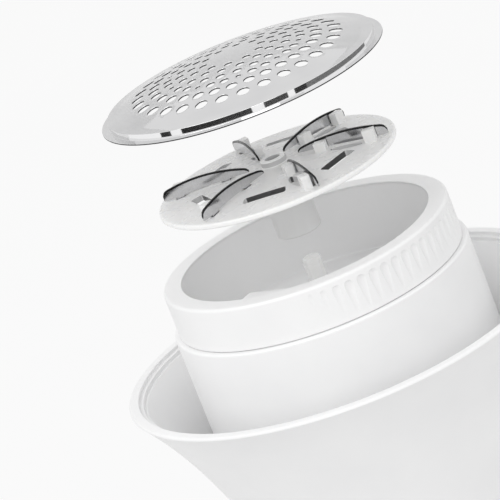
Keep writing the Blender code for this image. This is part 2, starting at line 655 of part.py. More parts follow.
def shaft_seal():
    inner = PEG_RADIUS + GAP
    low = WELL_FLOOR - SEAL_HEIGHT
    outline = [(inner, WELL_FLOOR - 0.2), (inner + 0.3, WELL_FLOOR), (inner + SEAL_WALL, WELL_FLOOR),
               (inner + SEAL_WALL, low), (inner, low)]
    turned("shaft_seal", outline, dark_plastic(), FINE_STEPS)


# ---------------------------------------------------------------- head

def cutting_well():
    """Grey cup that catches the lint; its bevelled edge nests under the ring's lip."""
    inner_edge = RING_TOP - LIP_EDGE - GAP * math.sqrt(2)
    foot = SHELF_TOP + GAP
    seal_bore = PEG_RADIUS + GAP + SEAL_WALL + GAP
    seal_seat = WELL_FLOOR - SEAL_HEIGHT - GAP
    peg_hole = PEG_RADIUS + GAP + 0.1
    corner = 0.8
    outline = [(WELL_RADIUS, inner_edge), (WELL_RADIUS, WELL_FLOOR + corner),
               (WELL_RADIUS - corner, WELL_FLOOR), (seal_bore, WELL_FLOOR), (seal_bore, seal_seat),
               (peg_hole, seal_seat), (peg_hole, WELL_UNDERSIDE), (WELL_OUTER - 2.0, WELL_UNDERSIDE),
               (WELL_OUTER - 2.0, foot), (WELL_OUTER, foot), (WELL_OUTER, inner_edge - WELL_WALL)]
    turned("cutting_well", outline, grey_plastic())


def lint_baffle():
    inner, outer = BAFFLE_INNER, WELL_RADIUS - 1.4
    half = BAFFLE_WIDTH / 2
    bm = bmesh.new()
    add_box(bm, (inner, -half, WELL_FLOOR + GAP), (outer, half, RING_TOP - BAFFLE_TOP_DROP),
            turn(BAFFLE_ANGLE))
    baffle = put(bm, "lint_baffle", white_plastic())
    bevel = baffle.modifiers.new("Edge", "BEVEL")
    bevel.width = 0.5 * MM
    bevel.segments = 1


def lock_ring():
    """Twist ring with a thin inner lip, an outer skirt and grip flutes."""
    lip_under = RING_TOP - LIP_EDGE
    skirt = NECK_RADIUS - NECK_WALL - GAP
    small = RING_CHAMFER / 2
    outline = [(RING_RADIUS - RING_CHAMFER, RING_TOP), (WELL_RADIUS, RING_TOP), (WELL_RADIUS, lip_under),
               (RING_BORE, lip_under - (RING_BORE - WELL_RADIUS)), (RING_BORE, RING_BOTTOM - SKIRT_DEPTH),
               (skirt, RING_BOTTOM - SKIRT_DEPTH), (skirt, RING_BOTTOM), (RING_RADIUS - small, RING_BOTTOM),
               (RING_RADIUS, RING_BOTTOM + small), (RING_RADIUS, RING_TOP - RING_CHAMFER)]
    ring = turned("lock_ring", outline, white_plastic(), RING_STEPS, (0.0, 0.0, RING_BOTTOM),
                  turn(FLUTE_PITCH / 2))
    flutes = bmesh.new()
    top = RING_TOP - FLUTE_TOP_DROP
    for sector in (0, 180):
        for i in range(FLUTES_PER_SECTOR):
            from_end = min(i, FLUTES_PER_SECTOR - 1 - i) + 1
            strength = min(1.0, from_end / (FADING_FLUTES + 1))
            angle = SECTOR_CENTRE + sector + (i - (FLUTES_PER_SECTOR - 1) / 2) * FLUTE_PITCH
            add_flute(flutes, top, strength, angle)
    combine(ring, flutes, "DIFFERENCE")


def add_flute(bm, top, strength, angle):
    """A leaf-shaped recess: a slim cone that leaves the surface at the flute's lower end."""
    sides = 8
    depth = (FLUTE_RADIUS - FLUTE_STANDOFF) * strength
    axis_radius = RING_RADIUS + FLUTE_RADIUS - depth
    low_radius = axis_radius - RING_RADIUS
    length = FLUTE_LENGTH * (0.4 + 0.6 * strength)
    upper = [bm.verts.new((axis_radius + x, y, top)) for x, y in circle(FLUTE_RADIUS, sides)]
    lower = [bm.verts.new((axis_radius + x, y, top - length)) for x, y in circle(low_radius, sides)]
    bm.faces.new(upper)
    bm.faces.new(list(reversed(lower)))
    for i in range(sides):
        j = (i + 1) % sides
        bm.faces.new((upper[i], lower[i], lower[j], upper[j]))
    bmesh.ops.transform(bm, matrix=turn(angle), verts=upper + lower)


def head_housing():
    """Neck below the ring, with the shelf that carries the well and the motor."""
    bore = NECK_RADIUS - NECK_WALL
    top = RING_BOTTOM - GAP
    foot = SEAT_TOP + GAP
    clear = 1.2 * GAP
    straight_end = height_at(INNER, NECK_RADIUS + clear)
    foot_radius = radius_at(INNER, foot) - clear
    centre_hole = MOTOR_BOSS_RADIUS + GAP
    outline = [(NECK_RADIUS - RING_CHAMFER, top), (bore, top), (bore, SHELF_TOP), (centre_hole, SHELF_TOP),
               (centre_hole, SHELF_UNDERSIDE), (bore, SHELF_UNDERSIDE), (bore, foot + 2.0),
               (bore - 1.0, foot), (foot_radius, foot), (NECK_RADIUS, straight_end),
               (NECK_RADIUS, top - RING_CHAMFER)]
    combine(turned("head_housing", outline, white_plastic()), screw_holes(), "DIFFERENCE")


# ---------------------------------------------------------------- cutter

def disc_surface(radius):
    """Height of the disc's top above its rim plane."""
    return DISC_RISE * max(0.0, 1.0 - (radius / DISC_FLAT_RADIUS) ** 2)


def along_blade(radius):
    """Place along a blade: 0 at its crest, 1 at the half span outside it."""
    return ((radius - BLADE_INNER) / BLADE_STRETCH - BLADE_CREST_PLACE) / BLADE_HALF_SPAN


def blade_edge(radius):
    """Height of the cutting edge above the rim plane: an arch that follows the guard."""
    m = along_blade(radius)
    return BLADE_CREST + 0.16 * m - 1.14 * m * m


def blade_sweep(radius):
    """Sideways place of the blade's curve, square to its direction."""
    m = along_blade(radius)
    return 0.43 - 0.68 * m + 0.24 * m * m


def blade_lean(radius):
    """Angle of the blade's curve to its direction, in degrees."""
    slope = (-0.68 + 0.48 * along_blade(radius)) / (BLADE_HALF_SPAN * BLADE_STRETCH)
    return math.degrees(math.atan(slope))


def at_blade(radius, aside, angle):
    """Carries a piece made round the origin to a place beside a blade."""
    place = Matrix.Translation((radius, blade_sweep(radius) + aside, CUTTER_RIM))
    return turn(angle) @ place @ turn(blade_lean(radius))


def cutter_disc():
    arc = [DISC_FLAT_RADIUS * share for share in (0.4, 0.7, 1.0)]
    bevel = 0.4
    recess_floor = HUB_HEIGHT - HUB_RECESS_DEPTH
    outline = [(HUB_HOLE, recess_floor), (HUB_RECESS_RADIUS, recess_floor), (HUB_RECESS_RADIUS, HUB_HEIGHT),
               (HUB_RADIUS - bevel, HUB_HEIGHT), (HUB_RADIUS, HUB_HEIGHT - bevel),
               (HUB_RADIUS, disc_surface(HUB_RADIUS))]
    outline += [(r, disc_surface(r)) for r in arc]
    outline += [(DISC_RADIUS - bevel, 0.0), (DISC_RADIUS, -bevel), (DISC_RADIUS, bevel - DISC_THICKNESS),
                (DISC_RADIUS - bevel, -DISC_THICKNESS)]
    outline += [(r, disc_surface(r) - DISC_THICKNESS) for r in reversed(arc)]
    outline += [(STEM_RADIUS, disc_surface(STEM_RADIUS) - DISC_THICKNESS), (STEM_RADIUS, bevel - STEM_LENGTH),
                (STEM_RADIUS - bevel, -STEM_LENGTH), (PEG_RADIUS + GAP, -STEM_LENGTH),
                (PEG_RADIUS + GAP, -STEM_BORE_TOP), (HUB_HOLE, -STEM_BORE_TOP)]
    outline = [(r, CUTTER_RIM + z) for r, z in outline]
    disc = turned("cutter_disc", outline, material("milky_plastic", (0.88, 0.88, 0.87), 0.3), DISC_STEPS,
                  (0.0, 0.0, CUTTER_RIM))
    combine(disc, disc_posts(), "UNION")
    combine(disc, disc_windows(), "DIFFERENCE")


def disc_posts():
    """Clips beside each blade, and the two keys that meet the peg's flats."""
    bm = bmesh.new()
    aside = -(BLADE_THICKNESS / 2 + GAP + POST_WIDTH / 2)
    for blade in range(BLADES):
        angle = BLADE_ANGLE + 360 * blade / BLADES
        for radius in TAB_RADII:
            top = min(POST_HEIGHT, blade_edge(radius) - GAP)
            low = disc_surface(radius) - DISC_THICKNESS / 2
            add_box(bm, (-POST_LENGTH / 2, -POST_WIDTH / 2, low), (POST_LENGTH / 2, POST_WIDTH / 2, top),
                    at_blade(radius, aside, angle))
    key = PEG_ACROSS_FLATS / 2 + GAP
    low = PEG_TOP - FLAT_LENGTH + CUTTER_LIFT + 2 * GAP
    high = CUTTER_RIM - STEM_BORE_TOP + 1.0
    for side in (0, 180):
        add_box(bm, (-PEG_RADIUS, key, low), (PEG_RADIUS, STEM_RADIUS - 1.5, high), turn(side))
    return bm


def disc_windows():
    """Slots for the blades' tabs, a leaf-shaped opening beside each blade and a window between blades."""
    bm = bmesh.new()
    half_width, half_thickness = TAB_WIDTH / 2 + GAP, BLADE_THICKNESS / 2 + GAP
    for blade in range(BLADES):
        step = 360 * blade / BLADES
        for radius in TAB_RADII:
            add_box(bm, (-half_width, -half_thickness, -3.0),
                    (half_width, half_thickness, disc_surface(radius) + GAP),
                    at_blade(radius, 0.0, BLADE_ANGLE + step))
        leaf = [(LEAF_HALF_LENGTH * x, LEAF_HALF_WIDTH * y) for x, y in circle(1.0, 10)]
        aside = -(BLADE_THICKNESS / 2 + 2 * GAP + LEAF_HALF_WIDTH)
        add_prism(bm, leaf, -3.0, 3.0, at_blade(LEAF_RADIUS, aside, BLADE_ANGLE + step))
        across, along = WINDOW_WIDTH / 2, WINDOW_LENGTH / 2
        add_box(bm, (WINDOW_RADIUS - across, -along, CUTTER_RIM - 3.0),
                (WINDOW_RADIUS + across, along, CUTTER_RIM + 3.0), turn(WINDOW_ANGLE + step))
    return bm


def blade_columns():
    """Radii along a blade, with an edge at each side of both tabs."""
    tabs = [radius + side * TAB_WIDTH / 2 for radius in TAB_RADII for side in (-1, 1)]
    middle = [tabs[1] + (tabs[2] - tabs[1]) * share for share in (0.25, 0.5, 0.75)]
    plain = [BLADE_INNER, BLADE_INNER + 0.4, BLADE_INNER + 1.6, BLADE_INNER + 2.9, *middle,
             BLADE_OUTER - 1.4, BLADE_OUTER - 0.5, BLADE_OUTER]
    return sorted(plain + tabs), tabs


def cutter_blades():
    """Thin curved strips that stand on the disc, with two tabs through its slots."""
    columns, tabs = blade_columns()
    for blade in range(BLADES):
        angle = BLADE_ANGLE + 360 * blade / BLADES
        bm = bmesh.new()
        rows = []
        for radius in columns:
            low, high = disc_surface(radius) + GAP, blade_edge(radius)
            from_end = min(radius - BLADE_INNER, BLADE_OUTER - radius)
            high = low + (high - low) * (0.55 + 0.45 * min(1.0, from_end / 0.5))
            column = [(radius, blade_sweep(radius), CUTTER_RIM + z) for z in (high, low)]
            if radius in tabs:
                column.append((radius, blade_sweep(radius), CUTTER_RIM - TAB_DEPTH))
            rows.append([bm.verts.new(point) for point in column])
        for left, right in zip(rows, rows[1:]):
            bm.faces.new((left[0], left[1], right[1], right[0]))
            if len(left) == 3 and len(right) == 3 and right[0].co.x - left[0].co.x < TAB_WIDTH + 0.01:
                bm.faces.new((left[1], left[2], right[2], right[1]))
        bmesh.ops.transform(bm, matrix=turn(angle), verts=bm.verts[:])
        strip = put(bm, f"cutter_blade_{blade + 1}", steel(), (0.0, 0.0, CUTTER_RIM))
        solid = strip.modifiers.new("Thickness", "SOLIDIFY")
        solid.thickness = BLADE_THICKNESS * MM
        solid.offset = 0.0


# ---------------------------------------------------------------- guard

def dome(radius, depth=0.0):
    """Height of the guard's dome above the flange's underside."""
    return CROWN - depth - radius * radius / (2 * DOME_RADIUS)


def shear_guard():
    """Pressed steel cap: perforated dome, upright band and flange with a beaded edge."""
    arc = list(DOME_ARC)
    shoulder = BAND_RADIUS - SHEET
    bead = 0.3
    outline = [(0.0, dome(0.0))] + [(r, dome(r)) for r in arc]
    outline += [(shoulder, dome(shoulder)), (BAND_RADIUS, dome(shoulder) - SHEET),
                (BAND_RADIUS, FLANGE_THICKNESS), (FLANGE_RADIUS - 2 * bead, FLANGE_THICKNESS),
                (FLANGE_RADIUS - bead, FLANGE_THICKNESS + bead), (FLANGE_RADIUS, FLANGE_THICKNESS),
                (FLANGE_RADIUS - 0.1, 0.0), (shoulder, 0.0), (shoulder, dome(shoulder) - 1.5 * SHEET),
                (shoulder - SHEET, dome(shoulder - SHEET, SHEET))]
    outline += [(r, dome(r, SHEET)) for r in reversed(arc)] + [(0.0, dome(0.0, SHEET))]
    facet = 360 / GUARD_STEPS
    guard = turned("shear_guard", [(r, FLANGE_LEVEL + z) for r, z in outline], steel(), GUARD_STEPS,
                   (0.0, 0.0, FLANGE_LEVEL), turn(HOLE_RINGS[0][3] + facet / 2))
    holes = bmesh.new()
    for radius, count, diameter, first, small_every in HOLE_RINGS:
        for i in range(count):
            small = small_every and i % small_every == 0
            size = SMALL_HOLE if small else diameter
            place = polar(radius, first + 360 * i / count)
            add_prism(holes, circle(size / 2, HOLE_SIDES, place), FLANGE_LEVEL, FLANGE_LEVEL + CROWN + 1.0)
    combine(guard, holes, "DIFFERENCE")


# ---------------------------------------------------------------- the whole object

def main():
    for old in list(bpy.data.objects):
        bpy.data.objects.remove(old)
    for make in (body_shell, base_cap, foot_pad, base_screws, inner_frame, battery_cell, control_board,
                 tact_switch, power_button, button_bezel, charge_light, charge_socket, motor_can,
                 motor_end_cap, motor_screws, motor_shaft, motor_rotor, drive_peg, shaft_seal,
                 cutting_well, lint_baffle, lock_ring, head_housing, cutter_disc, cutter_blades, shear_guard):
        make()


main()
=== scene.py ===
"""Looks of the fabric shaver: fine surfaces, materials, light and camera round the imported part.

Lengths are in millimetres unless a name says otherwise, and become metres when a mesh is made.
"""
import math

import bmesh
import bpy
from mathutils import Matrix, Vector
from mathutils.geometry import delaunay_2d_cdt

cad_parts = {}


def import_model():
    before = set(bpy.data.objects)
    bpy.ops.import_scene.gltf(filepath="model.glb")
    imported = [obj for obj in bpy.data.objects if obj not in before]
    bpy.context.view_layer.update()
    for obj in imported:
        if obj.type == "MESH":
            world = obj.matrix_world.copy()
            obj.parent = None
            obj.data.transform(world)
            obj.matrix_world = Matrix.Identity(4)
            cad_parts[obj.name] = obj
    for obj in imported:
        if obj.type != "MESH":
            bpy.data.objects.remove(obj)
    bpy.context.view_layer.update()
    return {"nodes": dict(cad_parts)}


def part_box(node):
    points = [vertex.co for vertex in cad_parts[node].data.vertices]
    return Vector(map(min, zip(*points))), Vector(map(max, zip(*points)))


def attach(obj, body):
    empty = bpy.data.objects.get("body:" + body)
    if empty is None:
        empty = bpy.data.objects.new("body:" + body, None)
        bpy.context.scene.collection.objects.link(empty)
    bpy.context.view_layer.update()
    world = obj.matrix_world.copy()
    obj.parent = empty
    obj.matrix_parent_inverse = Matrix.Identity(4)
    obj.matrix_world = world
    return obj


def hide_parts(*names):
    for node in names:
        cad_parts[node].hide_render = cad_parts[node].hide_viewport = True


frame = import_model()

MM = 0.001
STEPS = 240                 # facets round the large turned pieces
SMALL_STEPS = 64            # facets round small turned pieces
ARC_STEP = 15               # degrees of one facet in a rounded corner


def low(node, axis=2):
    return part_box(node)[0][axis] / MM


def high(node, axis=2):
    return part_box(node)[1][axis] / MM


# ---------------------------------------------------------------- sizes
# As in the part, but for the seams, the flutes' shape, and the guard's thin flange and raised band.

GAP = 0.3
SEAM = 0.07                 # visible joint between the ring and what it turns on
RING_TOP = high("lock_ring")
RING_BOTTOM = RING_TOP - 9.5
BELL_RADIUS = high("body_shell", 0)
RIM_TOP = high("body_shell")
SHELL_BOTTOM = low("body_shell")
WAIST_RADIUS = 25.5
WAIST_HEIGHT = RING_TOP - 100.0
BASE_RADIUS = WAIST_RADIUS + 1.5
SHELL_WALL = 2.2
RIM_LAND = 2.2
RIM_STEP_WIDTH = 0.8
RIM_STEP_DEPTH = 0.85
RIM_ROUND = 0.6
FLARE_PULL = 54.0
SEAT_LEDGE = 2.4
SEAT_THICKNESS = 2.0
BASE_FLOOR = 3.6
BASE_PLUG_TOP = 6.0
WELL_RADIUS = 26.8
WELL_WALL = 1.4
WELL_FLOOR = RING_TOP - 14.7
WELL_UNDERSIDE = WELL_FLOOR - 2.0
SHELF_TOP = WELL_UNDERSIDE - 2.0
SHELF_UNDERSIDE = SHELF_TOP - 2.5
LIP_EDGE = 0.35
RING_RADIUS = WELL_RADIUS + 4.0
NECK_RADIUS = RING_RADIUS + 1.1
NECK_WALL = 2.0
WELL_OUTER = WELL_RADIUS + WELL_WALL
FLUTE_PITCH = 5.0
FLUTES_PER_SECTOR = 20
SECTOR_CENTRE = -49.0
FLUTE_RADIUS = 1.5
FLUTE_DEPTH = 0.42
FLUTE_ROUND_END = 0.16      # share of a flute's length that its round upper end takes
FLUTE_TOP_DROP = 1.5
FLUTE_LENGTH = 7.4
FADING_FLUTES = 3
PEG_TOP = high("drive_peg")
PEG_FOOT = low("drive_peg")
PEG_RADIUS = 2.0
PEG_FLANGE_RADIUS = 3.0
PEG_FLANGE_HEIGHT = 1.4
FLAT_OFFSET = 1.6           # from the axis to the peg's flats
FLAT_LENGTH = 6.9
PEG_HOLE = 2.4
SHAFT_BORE = 1.45
SHAFT_BORE_DEPTH = 8.5
MOTOR_BOSS_HOLE = 3.3
MOTOR_SCREW_HOLE = 1.4
MOTOR_SCREW_CIRCLE = 8.0
SEAL_WALL = 1.3
SEAL_HEIGHT = 1.0
SKIRT_DEPTH = 2.7           # how far the ring's skirt reaches into the neck
STEM_LENGTH = 13.9
STEM_RADIUS = 4.7
CUTTER_RIM = low("cutter_disc") + STEM_LENGTH
CUTTER_REST_DROP = 0.1      # working place of the rim below the ring's top
DISC_RADIUS = 25.5
DISC_FLAT_RADIUS = 22.0
DISC_RISE = 1.2
DISC_THICKNESS = 1.2
BAFFLE_ANGLE = -130.3
BAFFLE_INNER = 15.0
BAFFLE_HALF_WIDTH = 6.0
BAFFLE_OUTER = WELL_RADIUS - 1.4
BAFFLE_ROUND = 0.6
HUB_RADIUS = 2.7
HUB_HEIGHT = 2.6
HUB_HOLE = 0.8
HUB_RECESS_RADIUS = 1.6
HUB_RECESS_DEPTH = 1.7
STEM_BORE_TOP = 3.2
BLADES = 6
BLADE_ANGLE = 44.7
BLADE_INNER = 5.2
BLADE_OUTER = 24.4
BLADE_THICKNESS = 0.35
BLADE_CREST = 3.53
BLADE_MIDDLE = 14.0
BLADE_HALF_SPAN = 9.0
BLADE_END_ROUND = 1.1
EDGE_SHADE_HEIGHT = 0.42         # painted shade: a dark strip along a blade's cutting edge
TAB_RADII = (10.4, 20.8)
TAB_WIDTH = 1.6
TAB_DEPTH = 1.8
POST_LENGTH = 2.4
POST_WIDTH = 1.8
POST_HEIGHT = 2.9
WINDOW_RADIUS = 16.7
WINDOW_LENGTH = 9.0
WINDOW_WIDTH = 2.6
WINDOW_ANGLE = 255.0
LEAF_RADIUS = 15.6
LEAF_HALF_LENGTH = 3.4
LEAF_HALF_WIDTH = 1.1
FLANGE_LEVEL = low("shear_guard")
FLANGE_RADIUS = 30.0
FLANGE_THICKNESS = 0.25
BAND_RADIUS = 28.4
SHEET = 0.4
CROWN = high("shear_guard") - FLANGE_LEVEL
DOME_RADIUS = 87.7
HOLE_FIELD = 23.6           # radius of the perforated field
# Rings of holes: radius, count, diameter, angle of the first hole, every n-th hole small
HOLE_RINGS = (
    (21.2, 30, 2.7, -80.5, 0),
    (17.4, 30, 2.4, -86.5, 0),
    (14.2, 30, 1.9, -92.5, 3),
    (11.5, 20, 1.9, -92.0, 0),
    (8.8, 14, 1.8, -86.0, 0),
    (6.3, 10, 1.7, -104.0, 0),
)
SMALL_HOLE = 1.1
BUTTON_HEIGHT = RING_TOP - 78.0
LIGHT_HEIGHT = BUTTON_HEIGHT - 14.0
BUTTON_RADIUS = 5.0
BUTTON_PROUD = 1.4
BUTTON_DEPTH = 5.9
BEZEL_WALL = 1.5
BEZEL_DEPTH = 3.8
BEZEL_PROUD = 0.6
LIGHT_RADIUS = 1.4
SCREW_BORE = 1.5
SCREW_HEAD_BORE = 2.6
SCREW_POST_RADIUS = 3.8


# ---------------------------------------------------------------- materials

def tree_of(name):
    made = bpy.data.materials.new(name)
    made.use_nodes = True
    return made, made.node_tree, made.node_tree.nodes["Principled BSDF"]


def place_in_piece(tree, stretch=(1.0, 1.0, 1.0)):
    coordinates = tree.nodes.new("ShaderNodeTexCoord")
    mapping = tree.nodes.new("ShaderNodeMapping")
    mapping.inputs["Scale"].default_value = stretch
    tree.links.new(coordinates.outputs["Object"], mapping.inputs["Vector"])
    return mapping.outputs["Vector"]


def worked(tree, operation, first, second):
    """A maths node on two values, each a socket or a number."""
    node = tree.nodes.new("ShaderNodeMath")
    node.operation = operation
    for socket, value in zip(node.inputs, (first, second)):
        if isinstance(value, float):
            socket.default_value = value
        else:
            tree.links.new(value, socket)
    return node.outputs[0]


def blended(tree, factor, first, second):
    """The first shader node where the factor is 0, the second where it is 1."""
    node = tree.nodes.new("ShaderNodeMixShader")
    for socket, source in zip(node.inputs, (factor, first.outputs[0], second.outputs[0])):
        tree.links.new(source, socket)
    return node.outputs[0]


def distance_from_axis(tree, scale):
    """A coordinate that only changes outwards from the Z axis: rings, as turning and polishing leave."""
    place = place_in_piece(tree, (1.0, 1.0, 0.0))
    length = tree.nodes.new("ShaderNodeVectorMath")
    length.operation = "LENGTH"
    tree.links.new(place, length.inputs[0])
    combined = tree.nodes.new("ShaderNodeCombineXYZ")
    tree.links.new(worked(tree, "MULTIPLY", length.outputs["Value"], scale), combined.inputs["X"])
    return combined.outputs["Vector"]


def noise(tree, scale, detail=3.0, place=None):
    texture = tree.nodes.new("ShaderNodeTexNoise")
    texture.inputs["Scale"].default_value = scale
    texture.inputs["Detail"].default_value = detail
    tree.links.new(place if place is not None else place_in_piece(tree), texture.inputs["Vector"])
    return texture.outputs["Fac"]


def ranged(tree, value, to_low, to_high, from_low=0.3, from_high=0.7):
    node = tree.nodes.new("ShaderNodeMapRange")
    node.inputs["From Min"].default_value = from_low
    node.inputs["From Max"].default_value = from_high
    node.inputs["To Min"].default_value = to_low
    node.inputs["To Max"].default_value = to_high
    tree.links.new(value, node.inputs["Value"])
    return node.outputs["Result"]


def mixed(tree, factor, first, second):
    node = tree.nodes.new("ShaderNodeMix")
    node.data_type = "RGBA"
    tree.links.new(factor, node.inputs["Factor"])
    for socket, colour in ((node.inputs["A"], first), (node.inputs["B"], second)):
        if isinstance(colour, tuple):
            socket.default_value = (*colour, 1.0)
        else:
            tree.links.new(colour, socket)
    return node.outputs["Result"]


def bumped(tree, shader, height, depth):
    """depth is the bump's real height in metres."""
    node = tree.nodes.new("ShaderNodeBump")
    node.inputs["Strength"].default_value = 1.0
    node.inputs["Distance"].default_value = depth
    tree.links.new(height, node.inputs["Height"])
    tree.links.new(node.outputs["Normal"], shader.inputs["Normal"])


def moulded_plastic(name, colour, shade, roughness, grain, depth, specular=0.5, milkiness=0.0):
    """Plastic with faint flow marks, a fine spark-eroded grain and slightly uneven gloss."""
    made, tree, shader = tree_of(name)
    flow = ranged(tree, noise(tree, 55.0, 4.0), 0.0, 1.0)
    base = mixed(tree, flow, colour, shade)
    fine = noise(tree, grain, 2.0)
    tree.links.new(base, shader.inputs["Base Color"])
    tree.links.new(ranged(tree, noise(tree, 210.0, 5.0), *roughness), shader.inputs["Roughness"])
    bumped(tree, shader, fine, depth)
    shader.inputs["Specular IOR Level"].default_value = specular
    if milkiness:
        shader.inputs["Subsurface Weight"].default_value = milkiness
        shader.inputs["Subsurface Radius"].default_value = (0.0016, 0.0015, 0.0013)
        shader.inputs["Subsurface Scale"].default_value = 1.0
    return made


def polished_steel(name, colour, shade, roughness):
    """Pressed and polished sheet: faint rings from the polishing wheel and a few hazy patches."""
    made, tree, shader = tree_of(name)
    rings = noise(tree, 1.0, 6.0, distance_from_axis(tree, 2600.0))
    haze = noise(tree, 120.0, 3.0)
    tree.links.new(mixed(tree, ranged(tree, haze, 0.0, 1.0), colour, shade), shader.inputs["Base Color"])
    both = worked(tree, "ADD", ranged(tree, rings, 0.0, 0.5), ranged(tree, haze, 0.0, 0.5))
    tree.links.new(ranged(tree, both, *roughness, 0.0, 1.0), shader.inputs["Roughness"])
    bumped(tree, shader, rings, 0.0000012)
    shader.inputs["Metallic"].default_value = 1.0
    return made


def ground_steel(name, colour, shade, roughness, stretch):
    """Steel with fine grinding lines along one direction."""
    made, tree, shader = tree_of(name)
    lines = noise(tree, 1.0, 4.0, place_in_piece(tree, stretch))
    patches = noise(tree, 350.0, 3.0)
    tree.links.new(mixed(tree, ranged(tree, lines, 0.0, 1.0), colour, shade), shader.inputs["Base Color"])
    tree.links.new(ranged(tree, patches, *roughness), shader.inputs["Roughness"])
    bumped(tree, shader, lines, 0.000002)
    shader.inputs["Metallic"].default_value = 1.0
    return made


WHITE = moulded_plastic("white_moulded", (0.90, 0.90, 0.90), (0.865, 0.865, 0.868), (0.30, 0.40), 3200.0,
                        0.000004)
RING_WHITE = moulded_plastic("ring_moulded", (0.90, 0.90, 0.90), (0.87, 0.87, 0.872), (0.28, 0.36), 3600.0,
                             0.000003)
WELL_PALE = moulded_plastic("well_moulded", (0.89, 0.89, 0.89), (0.87, 0.87, 0.873), (0.42, 0.52), 2400.0,
                            0.000005)
MILKY = moulded_plastic("milky_moulded", (0.895, 0.895, 0.888), (0.888, 0.888, 0.881), (0.24, 0.32), 3000.0,
                        0.000002, milkiness=0.10)
# Painted light: a lighter copy of the milky plastic, so that the peg in the well's shade looks lit.
PEG_PAINTED_LIGHT = moulded_plastic("peg_painted_light", (0.95, 0.95, 0.943), (0.93, 0.93, 0.923), (0.24, 0.32), 3000.0,
                            0.000002, milkiness=0.10)
# Painted shade: a darker copy of the disc's milky plastic for the stem, which sits in shade under the disc.
STEM_PAINTED_SHADE = moulded_plastic("stem_painted_shade", (0.76, 0.76, 0.757), (0.73, 0.73, 0.727), (0.30, 0.40), 3000.0,
                             0.000002)
DARK = moulded_plastic("dark_moulded", (0.045, 0.045, 0.05), (0.06, 0.06, 0.065), (0.45, 0.6), 2600.0, 0.000006)
FRAME_GREY = moulded_plastic("frame_moulded", (0.42, 0.42, 0.43), (0.37, 0.37, 0.38), (0.45, 0.6), 2600.0,
                             0.000006)
BOARD = moulded_plastic("board_resist", (0.02, 0.19, 0.08), (0.03, 0.25, 0.12), (0.28, 0.4), 1800.0, 0.000006)
# Painted shade: a grey copy of the disc's plastic for the walls of the hub and of the disc's openings.
OPENING_PAINTED_SHADE = moulded_plastic("wall_painted_shade", (0.58, 0.58, 0.58), (0.53, 0.53, 0.533), (0.35, 0.45), 2600.0,
                            0.000003)
# Painted shade: near-black for the windows' inner walls, which are the disc's own plastic lying in shade.
WINDOW_PAINTED_SHADE = moulded_plastic("window_wall_painted_shade", (0.03, 0.03, 0.03), (0.07, 0.07, 0.072), (0.25, 0.4), 2600.0,
                            0.000003)
RUBBER = moulded_plastic("foot_rubber", (0.20, 0.20, 0.205), (0.25, 0.25, 0.255), (0.75, 0.9), 1500.0, 0.00002,
                         specular=0.25)
WRAP = moulded_plastic("cell_wrap", (0.05, 0.20, 0.42), (0.07, 0.25, 0.48), (0.25, 0.35), 900.0, 0.000008)
LIGHT_PIPE = moulded_plastic("light_pipe", (0.70, 0.82, 0.88), (0.78, 0.88, 0.92), (0.08, 0.16), 1500.0,
                             0.000003, milkiness=0.4)
GUARD_STEEL = polished_steel("guard_polished", (0.67, 0.67, 0.675), (0.63, 0.63, 0.635), (0.03, 0.08))
# Painted highlight: a lighter copy of the guard's steel for the upright band, which is the same sheet.
BAND_PAINTED_HIGHLIGHT = polished_steel("guard_band_painted_highlight", (0.90, 0.90, 0.905), (0.86, 0.86, 0.865), (0.03, 0.07))
# Painted shade: near-black steel for the guard's hole walls and the flange's outer edge.
CUT_EDGE_PAINTED_SHADE = ground_steel("guard_edge_painted_shade", (0.05, 0.05, 0.051), (0.09, 0.09, 0.092), (0.25, 0.4),
                         (1200.0, 1200.0, 9000.0))
BEZEL_STEEL = polished_steel("bezel_polished", (0.80, 0.80, 0.81), (0.76, 0.76, 0.77), (0.05, 0.12))
BLADE_STEEL = ground_steel("blade_ground", (0.66, 0.66, 0.67), (0.56, 0.56, 0.57), (0.10, 0.20),
                           (9000.0, 9000.0, 700.0))
# Painted shade: near-black steel for the strip along each blade's cutting edge.
EDGE_PAINTED_SHADE = ground_steel("blade_edge_painted_shade", (0.02, 0.02, 0.021), (0.05, 0.05, 0.052), (0.22, 0.34),
                          (9000.0, 9000.0, 700.0))
PLATED_STEEL = ground_steel("plated_steel", (0.62, 0.62, 0.62), (0.52, 0.52, 0.53), (0.25, 0.4),
                            (1500.0, 1500.0, 1500.0))
COPPER = ground_steel("winding_copper", (0.72, 0.36, 0.20), (0.55, 0.25, 0.13), (0.25, 0.4),
                      (600.0, 600.0, 5200.0))


# ---------------------------------------------------------------- mesh tools

def show(bm, name, body, finishes, slot, *nodes, sharp=32.0, weighted=True):
    """Make a piece of a millimetre bmesh, let it ride on a body and stand for CAD nodes."""
    made = plain(bm, name, sharp)
    for finish in finishes if isinstance(finishes, tuple) else (finishes,):
        made.data.materials.append(finish)
    if weighted:
        normals = made.modifiers.new("Normals", "WEIGHTED_NORMAL")
        normals.keep_sharp = True
        normals.weight = 60
    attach(made, body)
    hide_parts(*nodes)


def placed(name, data):
    made = bpy.data.objects.new(name, data)
    bpy.context.scene.collection.objects.link(made)
    return made


def plain(bm, name, sharp=32.0):
    bmesh.ops.remove_doubles(bm, verts=bm.verts[:], dist=0.0004)
    bmesh.ops.recalc_face_normals(bm, faces=bm.faces[:])
    bmesh.ops.scale(bm, vec=(MM, MM, MM), verts=bm.verts[:])
    mesh = bpy.data.meshes.new(name)
    bm.to_mesh(mesh)
    bm.free()
    mesh.shade_smooth()
    mesh.set_sharp_from_angle(angle=math.radians(sharp))
    return placed(name, mesh)


